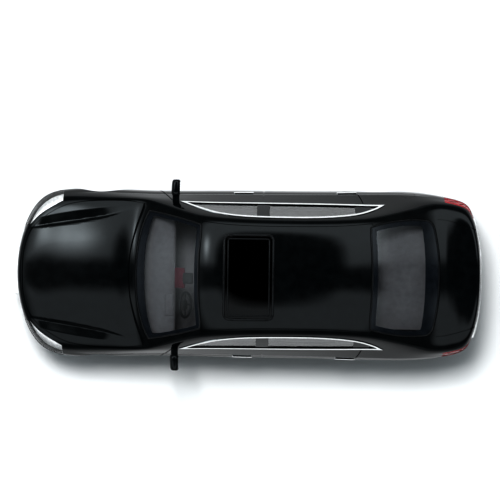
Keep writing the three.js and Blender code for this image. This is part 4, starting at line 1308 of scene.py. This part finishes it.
def make_floor():
    mesh = bpy.data.meshes.new("floor")
    mesh.from_pydata([(-FLOOR, -FLOOR, 0), (FLOOR, -FLOOR, 0), (FLOOR, FLOOR, 0), (-FLOOR, FLOOR, 0)], [],
                     [(0, 1, 2, 3)])
    made = bpy.data.objects.new("floor", mesh)
    mesh.materials.append(floor_material())
    bpy.context.scene.collection.objects.link(made)


def area_light(name, azimuth, elevation, distance, size, power, size_y=None):
    """A soft box that looks at the car. Azimuth 0 is towards +Y, 90 towards +X."""
    data = bpy.data.lights.new(name, "AREA")
    data.shape = "RECTANGLE"
    data.size = size
    data.size_y = size_y or size
    data.energy = power
    made = bpy.data.objects.new(name, data)
    az, el = math.radians(azimuth), math.radians(elevation)
    made.location = (distance * math.sin(az) * math.cos(el), distance * math.cos(az) * math.cos(el),
                     distance * math.sin(el))
    made.rotation_euler = (Vector((0, 0, 0.01)) - made.location).to_track_quat("-Z", "Y").to_euler()
    made.visible_glossy = False
    bpy.context.scene.collection.objects.link(made)


RING_STRENGTH = 2.0
TINT = (0.88, 0.96, 1.0)
OPENING_LEAN = math.radians(3)


class WorldMaths:
    """Small helper that strings math nodes together in a node tree."""

    def __init__(self, tree):
        self.tree = tree

    def __call__(self, operation, *values):
        node = self.tree.nodes.new("ShaderNodeMath")
        node.operation = operation
        for socket, value in zip(node.inputs, values):
            if isinstance(value, (int, float)):
                socket.default_value = value
            else:
                self.tree.links.new(value, socket)
        return node.outputs["Value"]

    def lobe(self, axes, direction, spread_degrees, strength):
        """A soft round patch of light about a direction."""
        unit = Vector(direction).normalized()
        dot = self("ADD", self("MULTIPLY", axes["X"], unit.x), self("MULTIPLY", axes["Y"], unit.y))
        dot = self("ADD", dot, self("MULTIPLY", axes["Z"], unit.z))
        width = 1 - math.cos(math.radians(spread_degrees))
        fall = self("EXPONENT", self("DIVIDE", self("SUBTRACT", dot, 1), width))
        return self("MULTIPLY", fall, strength)


def make_world():
    """A tent of light round a dark opening overhead, so that level black panels stay black."""
    world = bpy.data.worlds.new("tent")
    world.use_nodes = True
    tree = world.node_tree
    maths = WorldMaths(tree)
    background = next(n for n in tree.nodes if n.type == "BACKGROUND")
    coordinates = tree.nodes.new("ShaderNodeTexCoord")
    axes = tree.nodes.new("ShaderNodeSeparateXYZ")
    tree.links.new(coordinates.outputs["Generated"], axes.inputs["Vector"])
    axes = axes.outputs
    upward = maths("ADD", maths("MULTIPLY", axes["Y"], math.sin(OPENING_LEAN)),
                   maths("MULTIPLY", axes["Z"], math.cos(OPENING_LEAN)))
    ring = ramp(tree, upward, [(0.0, 0.36), (0.12, 0.3), (0.3, 0.05), (0.66, 0.05), (0.8, 1.0),
                               (0.945, 1.0), (0.967, 0.012), (1.0, 0.008)])
    from_gap = maths("ABSOLUTE", maths("ADD", axes["Y"], 0.045))
    gap = ramp(tree, from_gap, [(0.0, 0.03), (0.06, 0.03), (0.11, 1.0)])
    side = ramp(tree, maths("ADD", axes["Y"], 0.5), [(0.3, 0.45), (0.7, 0.72)])
    value = maths("MULTIPLY", maths("MULTIPLY", ring, gap), maths("MULTIPLY", side, RING_STRENGTH))
    value = maths("ADD", value, maths.lobe(axes, (-0.47, 0.17, 0.87), 4.5, 5.0))
    value = maths("ADD", value, maths.lobe(axes, (-0.80, 0.0, 0.6), 15, 0.6))
    colour = tree.nodes.new("ShaderNodeVectorMath")
    colour.operation = "SCALE"
    colour.inputs[0].default_value = TINT
    tree.links.new(value, colour.inputs["Scale"])
    tree.links.new(colour.outputs["Vector"], background.inputs["Color"])
    bpy.context.scene.world = world


CAMERA_HEIGHT = 0.35
CAMERA_ACROSS = 0.0147
CAMERA_ALONG = 0.0002
FIELD = 0.0883
SENSOR = 36.0
FIELD_LEVEL = 0.010


def make_camera():
    data = bpy.data.cameras.new("camera")
    data.sensor_width = SENSOR
    data.lens = SENSOR * (CAMERA_HEIGHT - FIELD_LEVEL) / FIELD
    made = bpy.data.objects.new("camera", data)
    made.location = (CAMERA_ALONG, CAMERA_ACROSS, CAMERA_HEIGHT)
    target = Vector((CAMERA_ALONG, 0.0043, FIELD_LEVEL))
    look = (target - made.location).normalized()
    right = Vector((1, 0, 0))
    up = right.cross(look).normalized()
    roll = Matrix.Rotation(math.radians(-0.67), 3, look)
    basis = Matrix((right, up, -look)).transposed()
    made.rotation_euler = (roll @ basis).to_euler()
    bpy.context.scene.collection.objects.link(made)
    bpy.context.scene.camera = made


make_floor()
make_world()
area_light("key", -20, 70, 0.6, 0.17, 3.4)
make_camera()
view = bpy.context.scene.view_settings
view.view_transform = "Standard"
view.look = "None"
view.exposure = 0.55
view.gamma = 0.62
